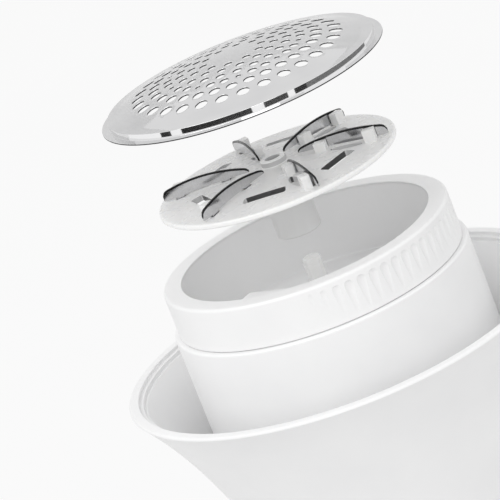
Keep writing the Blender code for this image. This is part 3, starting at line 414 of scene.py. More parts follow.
def settled(made):
    """The object's evaluated mesh as a millimetre bmesh; the object goes."""
    bpy.context.view_layer.update()
    evaluated = made.evaluated_get(bpy.context.evaluated_depsgraph_get())
    bm = bmesh.new()
    bm.from_mesh(evaluated.to_mesh())
    evaluated.to_mesh_clear()
    bmesh.ops.scale(bm, vec=(1 / MM, 1 / MM, 1 / MM), verts=bm.verts[:])
    bpy.data.objects.remove(made)
    return bm


def joined(bm, tool, operation):
    """The exact Boolean of two millimetre bmeshes, as a new one."""
    target, other = plain(bm, "boolean_target"), plain(tool, "boolean_tool")
    boolean = target.modifiers.new("Boolean", "BOOLEAN")
    boolean.object = other
    boolean.operation = operation
    boolean.solver = "EXACT"
    result = settled(target)
    bpy.data.objects.remove(other)
    return result


def softened(bm, width, segments=2, angle=35.0):
    """Bevel the sharp edges of a millimetre bmesh."""
    made = plain(bm, "bevel_target")
    bevel = made.modifiers.new("Bevel", "BEVEL")
    bevel.width = width * MM
    bevel.segments = segments
    bevel.limit_method = "ANGLE"
    bevel.angle_limit = math.radians(angle)
    bevel.use_clamp_overlap = True
    return settled(made)


def rounded(corners, closed=True):
    """Round the corners of an outline of (radius, height, fillet) points."""
    outline = []
    for i, (x, y, fillet) in enumerate(corners):
        corner = Vector((x, y))
        if fillet <= 0.0 or (not closed and i in (0, len(corners) - 1)):
            outline.append((x, y))
            continue
        back = (Vector(corners[i - 1][:2]) - corner).normalized()
        on = (Vector(corners[(i + 1) % len(corners)][:2]) - corner).normalized()
        inside = back.angle(on)
        reach = fillet / math.tan(inside / 2)
        start, end = corner + back * reach, corner + on * reach
        centre = corner + (back + on).normalized() * (fillet / math.sin(inside / 2))
        arm, last = start - centre, end - centre
        sweep = math.copysign(math.pi - inside, arm.x * last.y - arm.y * last.x)
        count = max(2, round(abs(math.degrees(sweep)) / ARC_STEP))
        for k in range(count + 1):
            outline.append(tuple(centre + Matrix.Rotation(sweep * k / count, 2) @ arm))
    return outline


def skin(bm, first, second, finish=0):
    """Quads between two rings of vertices."""
    for i in range(len(first)):
        j = (i + 1) % len(first)
        bm.faces.new((first[i], second[i], second[j], first[j])).material_index = finish


def drop_loose(bm):
    for vert in [v for v in bm.verts if not v.link_faces]:
        bm.verts.remove(vert)


def add_lathe(bm, outline, steps=STEPS, place=None):
    """Turn an outline of (radius, height) points round Z. It closes on itself unless it ends on the axis."""
    rings = []
    for radius, height in outline:
        if radius < 1e-6:
            rings.append([bm.verts.new((0.0, 0.0, height))])
        else:
            rings.append([bm.verts.new((radius * math.cos(math.tau * i / steps),
                                        radius * math.sin(math.tau * i / steps), height))
                          for i in range(steps)])
    pairs = list(zip(rings, rings[1:]))
    if len(rings[0]) > 1 or len(rings[-1]) > 1:
        pairs.append((rings[-1], rings[0]))
    for first, second in pairs:
        if len(first) == len(second):
            if len(first) > 1:
                skin(bm, first, second)
            continue
        for i in range(steps):
            j = (i + 1) % steps
            if len(first) == 1:
                bm.faces.new((first[0], second[i], second[j]))
            else:
                bm.faces.new((first[i], second[0], first[j]))
    if place is not None:
        bmesh.ops.transform(bm, matrix=place, verts=[v for ring in rings for v in ring])
    return bm


def lathe(outline, steps=STEPS, place=None):
    return add_lathe(bmesh.new(), outline, steps, place)


def add_prism(bm, outline, bottom, top, place=None):
    lower = [bm.verts.new((x, y, bottom)) for x, y in outline]
    upper = [bm.verts.new((x, y, top)) for x, y in outline]
    bm.faces.new(list(reversed(lower)))
    bm.faces.new(upper)
    for i in range(len(outline)):
        j = (i + 1) % len(outline)
        bm.faces.new((lower[i], lower[j], upper[j], upper[i]))
    if place is not None:
        bmesh.ops.transform(bm, matrix=place, verts=lower + upper)
    return bm


def add_block(bm, first, last, place=None):
    outline = [(first[0], first[1]), (last[0], first[1]), (last[0], last[1]), (first[0], last[1])]
    return add_prism(bm, outline, first[2], last[2], place)


def circle(radius, sides, centre=(0.0, 0.0)):
    return [(centre[0] + radius * math.cos(math.tau * i / sides),
             centre[1] + radius * math.sin(math.tau * i / sides)) for i in range(sides)]


def polar(radius, degrees):
    return radius * math.cos(math.radians(degrees)), radius * math.sin(math.radians(degrees))


def turn(degrees):
    return Matrix.Rotation(math.radians(degrees), 4, "Z")


def facing_front(height):
    return Matrix.Translation((0.0, 0.0, height)) @ Matrix.Rotation(math.radians(90), 4, "X")


def bezier(start, start_pull, end_pull, end, steps):
    points = []
    for i in range(steps + 1):
        t = i / steps
        weights = ((1 - t) ** 3, 3 * t * (1 - t) ** 2, 3 * t * t * (1 - t), t ** 3)
        points.append(tuple(sum(w * p[axis] for w, p in zip(weights, (start, start_pull, end_pull, end)))
                            for axis in (0, 1)))
    return points


def offset(points, distance):
    moved = []
    for i, (radius, height) in enumerate(points):
        before, after = points[max(i - 1, 0)], points[min(i + 1, len(points) - 1)]
        run, rise = after[0] - before[0], after[1] - before[1]
        length = math.hypot(run, rise)
        moved.append((radius - distance * rise / length, height + distance * run / length))
    return moved


def radius_at(curve, height):
    for (r0, z0), (r1, z1) in zip(curve, curve[1:]):
        if z0 <= height <= z1:
            return r0 + (r1 - r0) * (height - z0) / (z1 - z0)
    return curve[0][0] if height < curve[0][1] else curve[-1][0]


def height_at(curve, radius):
    for (r0, z0), (r1, z1) in reversed(list(zip(curve, curve[1:]))):
        if r0 <= radius <= r1:
            return z0 + (z1 - z0) * (radius - r0) / (r1 - r0)
    return curve[-1][1]


def between(curve, bottom, top):
    inside = [p for p in curve if bottom + 0.6 < p[1] < top - 0.6]
    return [(radius_at(curve, bottom), bottom), *inside, (radius_at(curve, top), top)]


# ---------------------------------------------------------------- shell and base

HALF = (WAIST_HEIGHT - SHELL_BOTTOM) / 2
FLARE_END = (BELL_RADIUS, RIM_TOP - RIM_ROUND)
HANDLE = bezier((BASE_RADIUS, SHELL_BOTTOM), (BASE_RADIUS, SHELL_BOTTOM + HALF),
                (WAIST_RADIUS, WAIST_HEIGHT - HALF), (WAIST_RADIUS, WAIST_HEIGHT), 12)
FLARE = bezier((WAIST_RADIUS, WAIST_HEIGHT), (WAIST_RADIUS, WAIST_HEIGHT + FLARE_PULL), FLARE_END,
               FLARE_END, 48)
OUTER = HANDLE + FLARE[1:-1]
INNER = offset(HANDLE + FLARE[1:], SHELL_WALL)
SEAT_RADIUS = NECK_RADIUS - 0.5
SEAT_TOP = height_at(INNER, SEAT_RADIUS)
FRONT = radius_at(OUTER, BUTTON_HEIGHT)


def shell():
    rim_inner = BELL_RADIUS - RIM_LAND
    first_step = RIM_TOP - RIM_STEP_DEPTH
    second_step = first_step - RIM_STEP_DEPTH
    wall = between(INNER, SEAT_TOP, second_step)
    corners = [(BELL_RADIUS, RIM_TOP, 0.55), (rim_inner, RIM_TOP, 0.22), (rim_inner, first_step, 0.12),
               (rim_inner - RIM_STEP_WIDTH, first_step, 0.2),
               (rim_inner - RIM_STEP_WIDTH, second_step, 0.0)]
    corners += [(r, z, 0.0) for r, z in reversed(wall)]
    seat_bore, seat_under = SEAT_RADIUS - SEAT_LEDGE, SEAT_TOP - SEAT_THICKNESS
    corners += [(seat_bore, SEAT_TOP, 0.3), (seat_bore, seat_under, 0.0)]
    corners += [(r, z, 0.0) for r, z in reversed(between(INNER, SHELL_BOTTOM, seat_under))]
    corners += [(BASE_RADIUS, SHELL_BOTTOM, 0.25)] + [(r, z, 0.0) for r, z in OUTER if z > SHELL_BOTTOM + 0.5]
    body = lathe(rounded(corners))
    holes = bmesh.new()
    for height, radius in ((BUTTON_HEIGHT, BUTTON_RADIUS + GAP + BEZEL_WALL + GAP),
                           (LIGHT_HEIGHT, LIGHT_RADIUS + GAP)):
        add_prism(holes, circle(radius, SMALL_STEPS), FRONT - 2 * SHELL_WALL, FRONT + 2 * SHELL_WALL,
                  facing_front(height))
    half_width, half_height, level, _, back = socket_box()
    add_prism(holes, socket_outline(half_width + GAP, half_height + GAP), back - 2 * SHELL_WALL,
              back + SHELL_WALL, facing_back(level))
    body = joined(body, holes, "DIFFERENCE")
    show(body, "shell", "body", WHITE, "white_plastic", "body_shell")


def socket_box():
    """Half width, half height, level, inner end and outer end of the charging socket."""
    first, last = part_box("charge_socket")
    return last.x / MM, (last.z - first.z) / MM / 2, (first.z + last.z) / MM / 2, first.y / MM, last.y / MM


def socket_outline(half_width, half_height, corner_steps=8):
    """An oblong with round ends."""
    straight = half_width - half_height
    ends = []
    for side in (1, -1):
        for k in range(corner_steps + 1):
            angle = math.pi * (k / corner_steps - 0.5)
            ends.append((side * (straight + half_height * math.cos(angle)),
                         side * half_height * math.sin(angle)))
    return ends


def facing_back(height):
    """Carries a piece made round Z to the back, its +Z pointing out along +Y."""
    return Matrix.Translation((0.0, 0.0, height)) @ Matrix.Rotation(math.radians(-90), 4, "X")


def base():
    bottom, top = low("base_cap"), SHELL_BOTTOM - GAP
    plug = radius_at(INNER, SHELL_BOTTOM) - GAP
    edge = BASE_RADIUS - GAP
    foot = high("foot_pad", 0)
    recess, recess_top = foot + GAP, high("foot_pad") + GAP
    corners = [(0.0, BASE_FLOOR, 0.0), (plug - SHELL_WALL, BASE_FLOOR, 0.4),
               (plug - SHELL_WALL, BASE_PLUG_TOP, 0.2), (plug, BASE_PLUG_TOP, 0.3), (plug, top, 0.0),
               (edge, top, 0.15), (edge, bottom, 0.9), (recess, bottom, 0.15), (recess, recess_top, 0.0),
               (0.0, recess_top, 0.0)]
    body = lathe(rounded(corners, closed=False))
    posts, holes = bmesh.new(), bmesh.new()
    post_top = low("inner_frame") - GAP
    for number in (1, 2, 3):
        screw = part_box(f"base_screw_{number}")
        place = ((screw[0].x + screw[1].x) / MM / 2, (screw[0].y + screw[1].y) / MM / 2)
        add_prism(posts, circle(SCREW_POST_RADIUS, 32, place), 2.6, post_top)
        add_lathe(holes, [(0.0, 30.0), (SCREW_BORE, 30.0), (SCREW_BORE, recess_top + 2.2),
                          (SCREW_HEAD_BORE, recess_top + 2.2), (SCREW_HEAD_BORE, 0.0), (0.0, 0.0)],
                  32, Matrix.Translation((*place, 0.0)))
    body = joined(body, posts, "UNION")
    body = joined(body, holes, "DIFFERENCE")
    show(body, "base", "body", WHITE, "white_plastic", "base_cap")
    thick = high("foot_pad")
    pad = [(0.0, thick, 0.0), (foot, thick, 0.2), (foot, 0.0, 0.45)]
    for groove in (21.0, 19.4, 17.8):
        pad += [(groove, 0.0, 0.1), (groove - 0.25, 0.3, 0.0), (groove - 0.75, 0.3, 0.0),
                (groove - 1.0, 0.0, 0.1)]
    pad += [(0.0, 0.0, 0.0)]
    show(lathe(rounded(pad, closed=False)), "foot", "body", RUBBER, "rubber", "foot_pad")


def switchgear():
    face = FRONT + BUTTON_PROUD
    back = face - BUTTON_DEPTH
    bezel_back = FRONT + BEZEL_PROUD - BEZEL_DEPTH
    flange = BUTTON_RADIUS + 2 * GAP + 0.4
    dish = [(r, face - 0.35 + 0.35 * (r / 4.3) ** 2, 0.0) for r in (0.0, 1.0, 2.0, 3.0, 3.8)]
    corners = dish + [(4.3, face, 0.3), (BUTTON_RADIUS, face - 0.25, 0.35),
                      (BUTTON_RADIUS, bezel_back - GAP, 0.0), (flange, bezel_back - GAP, 0.1),
                      (flange, back, 0.1), (0.0, back, 0.0)]
    show(lathe(rounded(corners, closed=False), SMALL_STEPS, facing_front(BUTTON_HEIGHT)), "button", "button",
         WHITE, "white_plastic", "power_button")
    inner, front = BUTTON_RADIUS + GAP, FRONT + BEZEL_PROUD
    outside = inner + BEZEL_WALL
    corners = [(inner, front, 0.35), (outside, front, 0.5), (outside, front - BEZEL_DEPTH, 0.1),
               (inner, front - BEZEL_DEPTH, 0.1)]
    show(lathe(rounded(corners), SMALL_STEPS, facing_front(BUTTON_HEIGHT)), "bezel", "body", BEZEL_STEEL,
         "bezel_chrome", "button_bezel")
    lens, inside = -low("charge_light", 1), -high("charge_light", 1)
    corners = [(0.0, lens, 0.0), (0.7, lens - 0.06, 0.0), (LIGHT_RADIUS, lens - 0.3, 0.25),
               (LIGHT_RADIUS, inside, 0.0), (0.0, inside, 0.0)]
    show(lathe(rounded(corners, closed=False), 32, facing_front(LIGHT_HEIGHT)), "light", "body", LIGHT_PIPE,
         "light_pipe", "charge_light")
    half_width, half_height, level, inner_end, outer_end = socket_box()
    tube = add_prism(bmesh.new(), socket_outline(half_width, half_height), inner_end, outer_end,
                     facing_back(level))
    hollow = add_prism(bmesh.new(), socket_outline(half_width - 0.35, half_height - 0.35),
                       inner_end + 1.0, outer_end + 1.0, facing_back(level))
    body = softened(joined(tube, hollow, "DIFFERENCE"), 0.1)
    show(body, "socket", "body", PLATED_STEEL, "motor_steel", "charge_socket")


# ---------------------------------------------------------------- head

def housing():
    bore = NECK_RADIUS - NECK_WALL
    top = RING_BOTTOM - SEAM
    foot = SEAT_TOP + GAP
    clear = 1.2 * GAP
    straight_end = height_at(INNER, NECK_RADIUS + clear)
    foot_radius = radius_at(INNER, foot) - clear
    corners = [(NECK_RADIUS, top, 0.5), (bore, top, 0.2), (bore, SHELF_TOP, 0.0),
               (MOTOR_BOSS_HOLE, SHELF_TOP, 0.1), (MOTOR_BOSS_HOLE, SHELF_UNDERSIDE, 0.1),
               (bore, SHELF_UNDERSIDE, 0.0), (bore, foot + 2.0, 0.0),
               (bore - 1.0, foot, 0.1), (foot_radius, foot, 0.1), (NECK_RADIUS, straight_end, 0.0)]
    body = lathe(rounded(corners))
    holes = bmesh.new()
    for side in (-1, 1):
        add_prism(holes, circle(MOTOR_SCREW_HOLE, 32, (side * MOTOR_SCREW_CIRCLE, 0.0)),
                  SHELF_UNDERSIDE - 1.0, SHELF_TOP + 1.0)
    show(joined(body, holes, "DIFFERENCE"), "housing", "body", WHITE, "white_plastic", "head_housing")


def well():
    inner_edge = RING_TOP - LIP_EDGE - SEAM
    foot = SHELF_TOP + GAP
    seal_bore = PEG_RADIUS + GAP + SEAL_WALL + GAP
    seal_seat = WELL_FLOOR - SEAL_HEIGHT - GAP
    corners = [(WELL_RADIUS, inner_edge, 0.0), (WELL_RADIUS, WELL_FLOOR, 0.4), (seal_bore, WELL_FLOOR, 0.15),
               (seal_bore, seal_seat, 0.0), (PEG_HOLE, seal_seat, 0.0), (PEG_HOLE, WELL_UNDERSIDE, 0.0),
               (WELL_OUTER - 2.0, WELL_UNDERSIDE, 0.0), (WELL_OUTER - 2.0, foot, 0.0), (WELL_OUTER, foot, 0.0),
               (WELL_OUTER, inner_edge - WELL_WALL, 0.0)]
    show(lathe(rounded(corners)), "well", "body", WELL_PALE, "well_plastic", "cutting_well")
    inner, bottom = PEG_RADIUS + GAP, WELL_FLOOR - SEAL_HEIGHT
    corners = [(inner, WELL_FLOOR, 0.2), (inner + SEAL_WALL, WELL_FLOOR, 0.1),
               (inner + SEAL_WALL, bottom, 0.0), (inner, bottom, 0.0)]
    show(lathe(rounded(corners), SMALL_STEPS), "seal", "body", DARK, "dark_plastic", "shaft_seal")
    block = add_block(bmesh.new(), (BAFFLE_INNER, -BAFFLE_HALF_WIDTH, WELL_FLOOR + GAP),
                      (BAFFLE_OUTER, BAFFLE_HALF_WIDTH, high("lint_baffle")), turn(BAFFLE_ANGLE))
    show(softened(block, BAFFLE_ROUND, 4), "baffle", "body", WHITE, "white_plastic", "lint_baffle")


def ring():
    lip_under = RING_TOP - LIP_EDGE
    bore = WELL_OUTER + GAP
    skirt = NECK_RADIUS - NECK_WALL - GAP
    corners = [(RING_RADIUS, RING_TOP, 0.7), (WELL_RADIUS, RING_TOP, 0.12), (WELL_RADIUS, lip_under, 0.0),
               (bore, lip_under - (bore - WELL_RADIUS), 0.0), (bore, RING_BOTTOM - SKIRT_DEPTH, 0.1),
               (skirt, RING_BOTTOM - SKIRT_DEPTH, 0.1), (skirt, RING_BOTTOM, 0.0), (RING_RADIUS, RING_BOTTOM, 0.3)]
    body = lathe(rounded(corners), 360)
    flutes = bmesh.new()
    for sector in (0, 180):
        for i in range(FLUTES_PER_SECTOR):
            from_end = min(i, FLUTES_PER_SECTOR - 1 - i) + 1
            strength = min(1.0, from_end / (FADING_FLUTES + 1))
            from_middle = (i - (FLUTES_PER_SECTOR - 1) / 2) * FLUTE_PITCH
            add_flute(flutes, strength, SECTOR_CENTRE + sector + from_middle)
    show(joined(body, flutes, "DIFFERENCE"), "ring", "ring", RING_WHITE, "white_plastic", "lock_ring")


def add_flute(bm, strength, angle, sides=32):
    """A leaf-shaped scallop with a round upper end, which runs out into the surface at its foot."""
    standoff = FLUTE_RADIUS - FLUTE_DEPTH * strength
    top = RING_TOP - FLUTE_TOP_DROP
    length = FLUTE_LENGTH * (0.4 + 0.6 * strength)
    rings = []
    for share in (-0.01, 0.005, 0.02, 0.045, 0.08, 0.12, 0.16, 0.3, 0.45, 0.6, 0.75, 0.88, 0.97, 1.02):
        if share < FLUTE_ROUND_END:
            reach = math.sqrt(max(0.0, 1.0 - (1.0 - share / FLUTE_ROUND_END) ** 2)) if share > 0 else -0.1
        else:
            reach = (1.0 - share) / (1.0 - FLUTE_ROUND_END)
        radius = standoff + FLUTE_DEPTH * strength * reach
        rings.append([bm.verts.new((RING_RADIUS + standoff + x, y, top - length * share))
                      for x, y in circle(radius, sides)])
    bm.faces.new(rings[0])
    bm.faces.new(list(reversed(rings[-1])))
    for upper, lower in zip(rings, rings[1:]):
        skin(bm, upper, lower)
    bmesh.ops.transform(bm, matrix=turn(angle), verts=[v for ring in rings for v in ring])


def peg():
    bore_top, flange_top = PEG_FOOT + SHAFT_BORE_DEPTH, PEG_FOOT + PEG_FLANGE_HEIGHT
    corners = [(0.0, PEG_TOP, 0.0), (PEG_RADIUS, PEG_TOP, 0.6), (PEG_RADIUS, flange_top, 0.0),
               (PEG_FLANGE_RADIUS, flange_top, 0.15), (PEG_FLANGE_RADIUS, PEG_FOOT, 0.0),
               (SHAFT_BORE, PEG_FOOT, 0.0), (SHAFT_BORE, bore_top, 0.0), (0.0, bore_top, 0.0)]
    body = lathe(rounded(corners, closed=False), SMALL_STEPS)
    flats = bmesh.new()
    for side in (0, 180):
        add_block(flats, (-4.0, FLAT_OFFSET, PEG_TOP - FLAT_LENGTH), (4.0, 4.0, PEG_TOP + 1.0), turn(side))
    body = softened(joined(body, flats, "DIFFERENCE"), 0.12, 2, 30.0)
    show(body, "peg", "spindle", PEG_PAINTED_LIGHT, "milky_plastic", "drive_peg")


# ---------------------------------------------------------------- cutter

def disc_surface(radius):
    return DISC_RISE * max(0.0, 1.0 - (radius / DISC_FLAT_RADIUS) ** 2)


def along_blade(radius):
    """Place along a blade, in half spans from its middle."""
    return (radius - BLADE_MIDDLE) / BLADE_HALF_SPAN


def blade_edge(radius):
    """Height of the cutting edge above the rim plane: an arch that follows the guard."""
    m = along_blade(radius)
    return BLADE_CREST + 0.16 * m - 1.14 * m * m


def blade_sweep(radius):
    """Sideways place of the blade's curve, square to its direction."""
    m = along_blade(radius)
    return 0.43 - 0.68 * m + 0.24 * m * m


def blade_lean(radius):
    """Angle of the blade's curve to its direction, in degrees."""
    return math.degrees(math.atan((-0.68 + 0.48 * along_blade(radius)) / BLADE_HALF_SPAN))


def at_blade(radius, aside, angle):
    place = Matrix.Translation((radius, blade_sweep(radius) + aside, CUTTER_RIM))
    return turn(angle) @ place @ turn(blade_lean(radius))


def disc():
    arc = [DISC_FLAT_RADIUS * share for share in (0.3, 0.4, 0.5, 0.6, 0.7, 0.8, 0.9, 1.0)]
    recess_floor = HUB_HEIGHT - HUB_RECESS_DEPTH
    corners = [(HUB_HOLE, recess_floor, 0.1), (HUB_RECESS_RADIUS, recess_floor, 0.15),
               (HUB_RECESS_RADIUS, HUB_HEIGHT, 0.2), (HUB_RADIUS, HUB_HEIGHT, 0.35),
               (HUB_RADIUS, disc_surface(HUB_RADIUS), 0.3)]
    corners += [(r, disc_surface(r), 0.0) for r in arc]
    corners += [(DISC_RADIUS, 0.0, 0.45), (DISC_RADIUS, -DISC_THICKNESS, 0.45)]
    corners += [(r, disc_surface(r) - DISC_THICKNESS, 0.0) for r in reversed(arc)]
    corners += [(STEM_RADIUS, disc_surface(STEM_RADIUS) - DISC_THICKNESS, 0.5), (STEM_RADIUS, -STEM_LENGTH, 0.4),
                (PEG_RADIUS + GAP, -STEM_LENGTH, 0.2), (PEG_RADIUS + GAP, -STEM_BORE_TOP, 0.0),
                (HUB_HOLE, -STEM_BORE_TOP, 0.0)]
    body = lathe([(r, CUTTER_RIM + z) for r, z in rounded(corners)], 180)
    body = joined(body, posts(), "UNION")
    body = joined(body, windows(), "DIFFERENCE")
    body = softened(body, 0.16, 2, 50.0)
    # Painted shade: the hub's side wall, the openings' walls, the windows' inner walls and the stem take darker
    # materials than the disc.
    for face in body.faces:
        face.material_index = wall_painted_shade(face)
    show(body, "disc", "cutter", (MILKY, OPENING_PAINTED_SHADE, WINDOW_PAINTED_SHADE, STEM_PAINTED_SHADE), "milky_plastic", "cutter_disc",
         sharp=40.0)


def wall_painted_shade(face):
    """0 for the disc; 1 for painted shade on a wall of the hub or an opening, 2 for darker painted shade on a
    window's inner wall, 3 for painted shade on the stem.
    """
    centre, normal = face.calc_center_median(), face.normal
    radius = math.hypot(centre.x, centre.y)
    if radius < STEM_RADIUS + 0.1 and centre.z < CUTTER_RIM - DISC_THICKNESS / 2:
        return 3
    if radius < HUB_RADIUS + 0.01 and abs(normal.z) < 0.3:
        return 1
    if abs(normal.z) > 0.5 or not -DISC_THICKNESS < centre.z - CUTTER_RIM < disc_surface(radius) - 0.02:
        return 0
    if not TAB_RADII[0] + POST_LENGTH / 2 < radius < TAB_RADII[1] - POST_LENGTH / 2:
        return 0
    outward = (normal.x * centre.x + normal.y * centre.y) / radius
    inner_edge = math.hypot(WINDOW_RADIUS - WINDOW_WIDTH / 2, WINDOW_LENGTH / 2)
    return 2 if outward > 0.8 and radius < inner_edge + 0.1 else 1


def posts():
    bm = bmesh.new()
    aside = -(BLADE_THICKNESS / 2 + GAP + POST_WIDTH / 2)
    for blade in range(BLADES):
        angle = BLADE_ANGLE + 360 * blade / BLADES
        for radius in TAB_RADII:
            top = min(POST_HEIGHT, blade_edge(radius) - GAP)
            bottom = disc_surface(radius) - DISC_THICKNESS / 2
            add_block(bm, (-POST_LENGTH / 2, -POST_WIDTH / 2, bottom), (POST_LENGTH / 2, POST_WIDTH / 2, top),
                      at_blade(radius, aside, angle))
    key = FLAT_OFFSET + GAP
    bottom = PEG_TOP - FLAT_LENGTH + (CUTTER_RIM - RING_TOP + CUTTER_REST_DROP) + 2 * GAP
    top = CUTTER_RIM - STEM_BORE_TOP + 1.0
    for side in (0, 180):
        add_block(bm, (-PEG_RADIUS, key, bottom), (PEG_RADIUS, STEM_RADIUS - 1.5, top), turn(side))
    return bm


def windows():
    bm = bmesh.new()
    half_width, half_thickness = TAB_WIDTH / 2 + GAP, BLADE_THICKNESS / 2 + GAP
    for blade in range(BLADES):
        step = 360 * blade / BLADES
        for radius in TAB_RADII:
            add_block(bm, (-half_width, -half_thickness, -3.0),
                      (half_width, half_thickness, disc_surface(radius) + GAP),
                      at_blade(radius, 0.0, BLADE_ANGLE + step))
        leaf = [(LEAF_HALF_LENGTH * x, LEAF_HALF_WIDTH * y) for x, y in circle(1.0, 40)]
        aside = -(BLADE_THICKNESS / 2 + 2 * GAP + LEAF_HALF_WIDTH)
        add_prism(bm, leaf, -3.0, 3.0, at_blade(LEAF_RADIUS, aside, BLADE_ANGLE + step))
        across, along = WINDOW_WIDTH / 2, WINDOW_LENGTH / 2
        outline = rounded([(WINDOW_RADIUS - across, -along, 0.5), (WINDOW_RADIUS + across, -along, 0.5),
                           (WINDOW_RADIUS + across, along, 0.5), (WINDOW_RADIUS - across, along, 0.5)])
        add_prism(bm, outline, CUTTER_RIM - 3.0, CUTTER_RIM + 3.0, turn(WINDOW_ANGLE + step))
    return bm


def blades():
    tabs = {round(radius + side * TAB_WIDTH / 2, 3) for radius in TAB_RADII for side in (-1, 1)}
    columns = sorted({round(BLADE_INNER + 0.4 * i, 3) for i in range(49)} | tabs)
    for blade in range(BLADES):
        angle = BLADE_ANGLE + 360 * blade / BLADES
        rows, bm = [], bmesh.new()
        for radius in columns:
            bottom, top = disc_surface(radius) + GAP, blade_edge(radius)
            from_end = min(radius - BLADE_INNER, BLADE_OUTER - radius)
            round_off = 1.0 - max(0.0, 1.0 - from_end / BLADE_END_ROUND) ** 2
            top = bottom + (top - bottom) * (0.55 + 0.45 * math.sqrt(max(0.0, round_off)))
            shade_foot = top - EDGE_SHADE_HEIGHT
            levels = [top, shade_foot, (shade_foot + bottom) / 2, bottom]
            column = [bm.verts.new((radius, blade_sweep(radius), CUTTER_RIM + z)) for z in levels]
            in_tab = any(abs(radius - tab) <= TAB_WIDTH / 2 + 0.001 for tab in TAB_RADII)
            foot = bm.verts.new((radius, blade_sweep(radius), CUTTER_RIM - TAB_DEPTH)) if in_tab else None
            rows.append((radius, column, foot))
        for (r0, left, left_foot), (r1, right, right_foot) in zip(rows, rows[1:]):
            for k in range(3):
                # The top strip along the cutting edge takes the second material, painted shade.
                bm.faces.new((left[k], left[k + 1], right[k + 1], right[k])).material_index = int(k == 0)
            if left_foot and right_foot and not (r0 in tabs and r1 in tabs):
                bm.faces.new((left[3], left_foot, right_foot, right[3]))
        drop_loose(bm)
        bmesh.ops.transform(bm, matrix=turn(angle), verts=bm.verts[:])
        strip = plain(bm, "strip")
        solid = strip.modifiers.new("Thickness", "SOLIDIFY")
        solid.thickness = BLADE_THICKNESS * MM
        solid.offset = 0.0
        body = softened(settled(strip), 0.06, 1, 60.0)
        show(body, f"blade_{blade + 1}", "cutter", (BLADE_STEEL, EDGE_PAINTED_SHADE), "blade_steel",
             f"cutter_blade_{blade + 1}")


# ---------------------------------------------------------------- guard

HOLE_EDGE = 0.09            # rounding round a hole
HOLE_SIDES = 28
FIELD_PITCH = 0.85          # spacing of the points between the holes
PAINTED_SHADE_STEP = 2                # the part of a hole's profile that is the bare cut; it takes the painted shade
BAND_RISE = 0.35            # how far the band's top edge stands above the dome's own curve
POLISHED, CUT_SHADE_INDEX, BAND_HIGHLIGHT_INDEX = range(3)      # the guard's finishes, in the order of its materials: polished steel, painted shade on the cut edges, and a lighter copy of the steel as painted highlight on the band


def dome(radius, depth=0.0):
    return CROWN - depth - radius * radius / (2 * DOME_RADIUS)


def hole_places():
    for radius, count, diameter, first, small_every in HOLE_RINGS:
        for i in range(count):
            small = small_every and i % small_every == 0
            yield polar(radius, first + 360 * i / count), (SMALL_HOLE if small else diameter) / 2


def guard():
    """The perforated field is triangulated flat round its holes and lifted on the dome."""
    holes = list(hole_places())
    points = circle(HOLE_FIELD, STEPS)
    edges = [(i, (i + 1) % STEPS) for i in range(STEPS)]
    loops = []
    for centre, radius in holes:
        start = len(points)
        points += circle(radius + HOLE_EDGE, HOLE_SIDES, centre)
        loops.append(list(range(start, start + HOLE_SIDES)))
        edges += [(start + i, start + (i + 1) % HOLE_SIDES) for i in range(HOLE_SIDES)]
    rows = int(HOLE_FIELD / (FIELD_PITCH * 0.866)) + 1
    for row in range(-rows, rows + 1):
        for column in range(-rows, rows + 1):
            x = (column + 0.5 * (row % 2)) * FIELD_PITCH
            y = row * FIELD_PITCH * 0.866
            if math.hypot(x, y) > HOLE_FIELD - 0.4:
                continue
            if all(math.hypot(x - cx, y - cy) > r + HOLE_EDGE + 0.25 for (cx, cy), r in holes):
                points.append((x, y))
    flat, _, triangles, *_ = delaunay_2d_cdt([Vector(p) for p in points], edges, [], 0, 1e-6)
    kept = []
    for triangle in triangles:
        x, y = (sum(flat[i][axis] for i in triangle) / 3 for axis in (0, 1))
        if math.hypot(x, y) < HOLE_FIELD and all(
                (x - cx) ** 2 + (y - cy) ** 2 > (r + HOLE_EDGE * 0.9) ** 2 for (cx, cy), r in holes):
            kept.append(triangle)
    bm = bmesh.new()
    for depth in (0.0, SHEET):
        lifted = [bm.verts.new((p.x, p.y, FLANGE_LEVEL + dome(p.length, depth))) for p in flat]
        for triangle in kept:
            bm.faces.new([lifted[i] for i in triangle])
    for (cx, cy), radius in holes:
        profile = [(radius + HOLE_EDGE, 0.0), (radius + 0.35 * HOLE_EDGE, 0.25 * HOLE_EDGE), (radius, HOLE_EDGE),
                   (radius, SHEET - HOLE_EDGE), (radius + 0.35 * HOLE_EDGE, SHEET - 0.25 * HOLE_EDGE),
                   (radius + HOLE_EDGE, SHEET)]
        wall = []
        for r, depth in profile:
            wall.append([bm.verts.new((x, y, FLANGE_LEVEL + dome(math.hypot(x, y), depth)))
                         for x, y in circle(r, HOLE_SIDES, (cx, cy))])
        for step, (upper, lower) in enumerate(zip(wall, wall[1:])):
            # The straight wall of each hole takes the near-black steel, painted shade.
            skin(bm, upper, lower, CUT_SHADE_INDEX if step == PAINTED_SHADE_STEP else POLISHED)
    drop_loose(bm)
    add_border(bm)
    show(bm, "guard", "guard", (GUARD_STEEL, CUT_EDGE_PAINTED_SHADE, BAND_PAINTED_HIGHLIGHT), "guard_steel", "shear_guard",
         sharp=50.0, weighted=False)


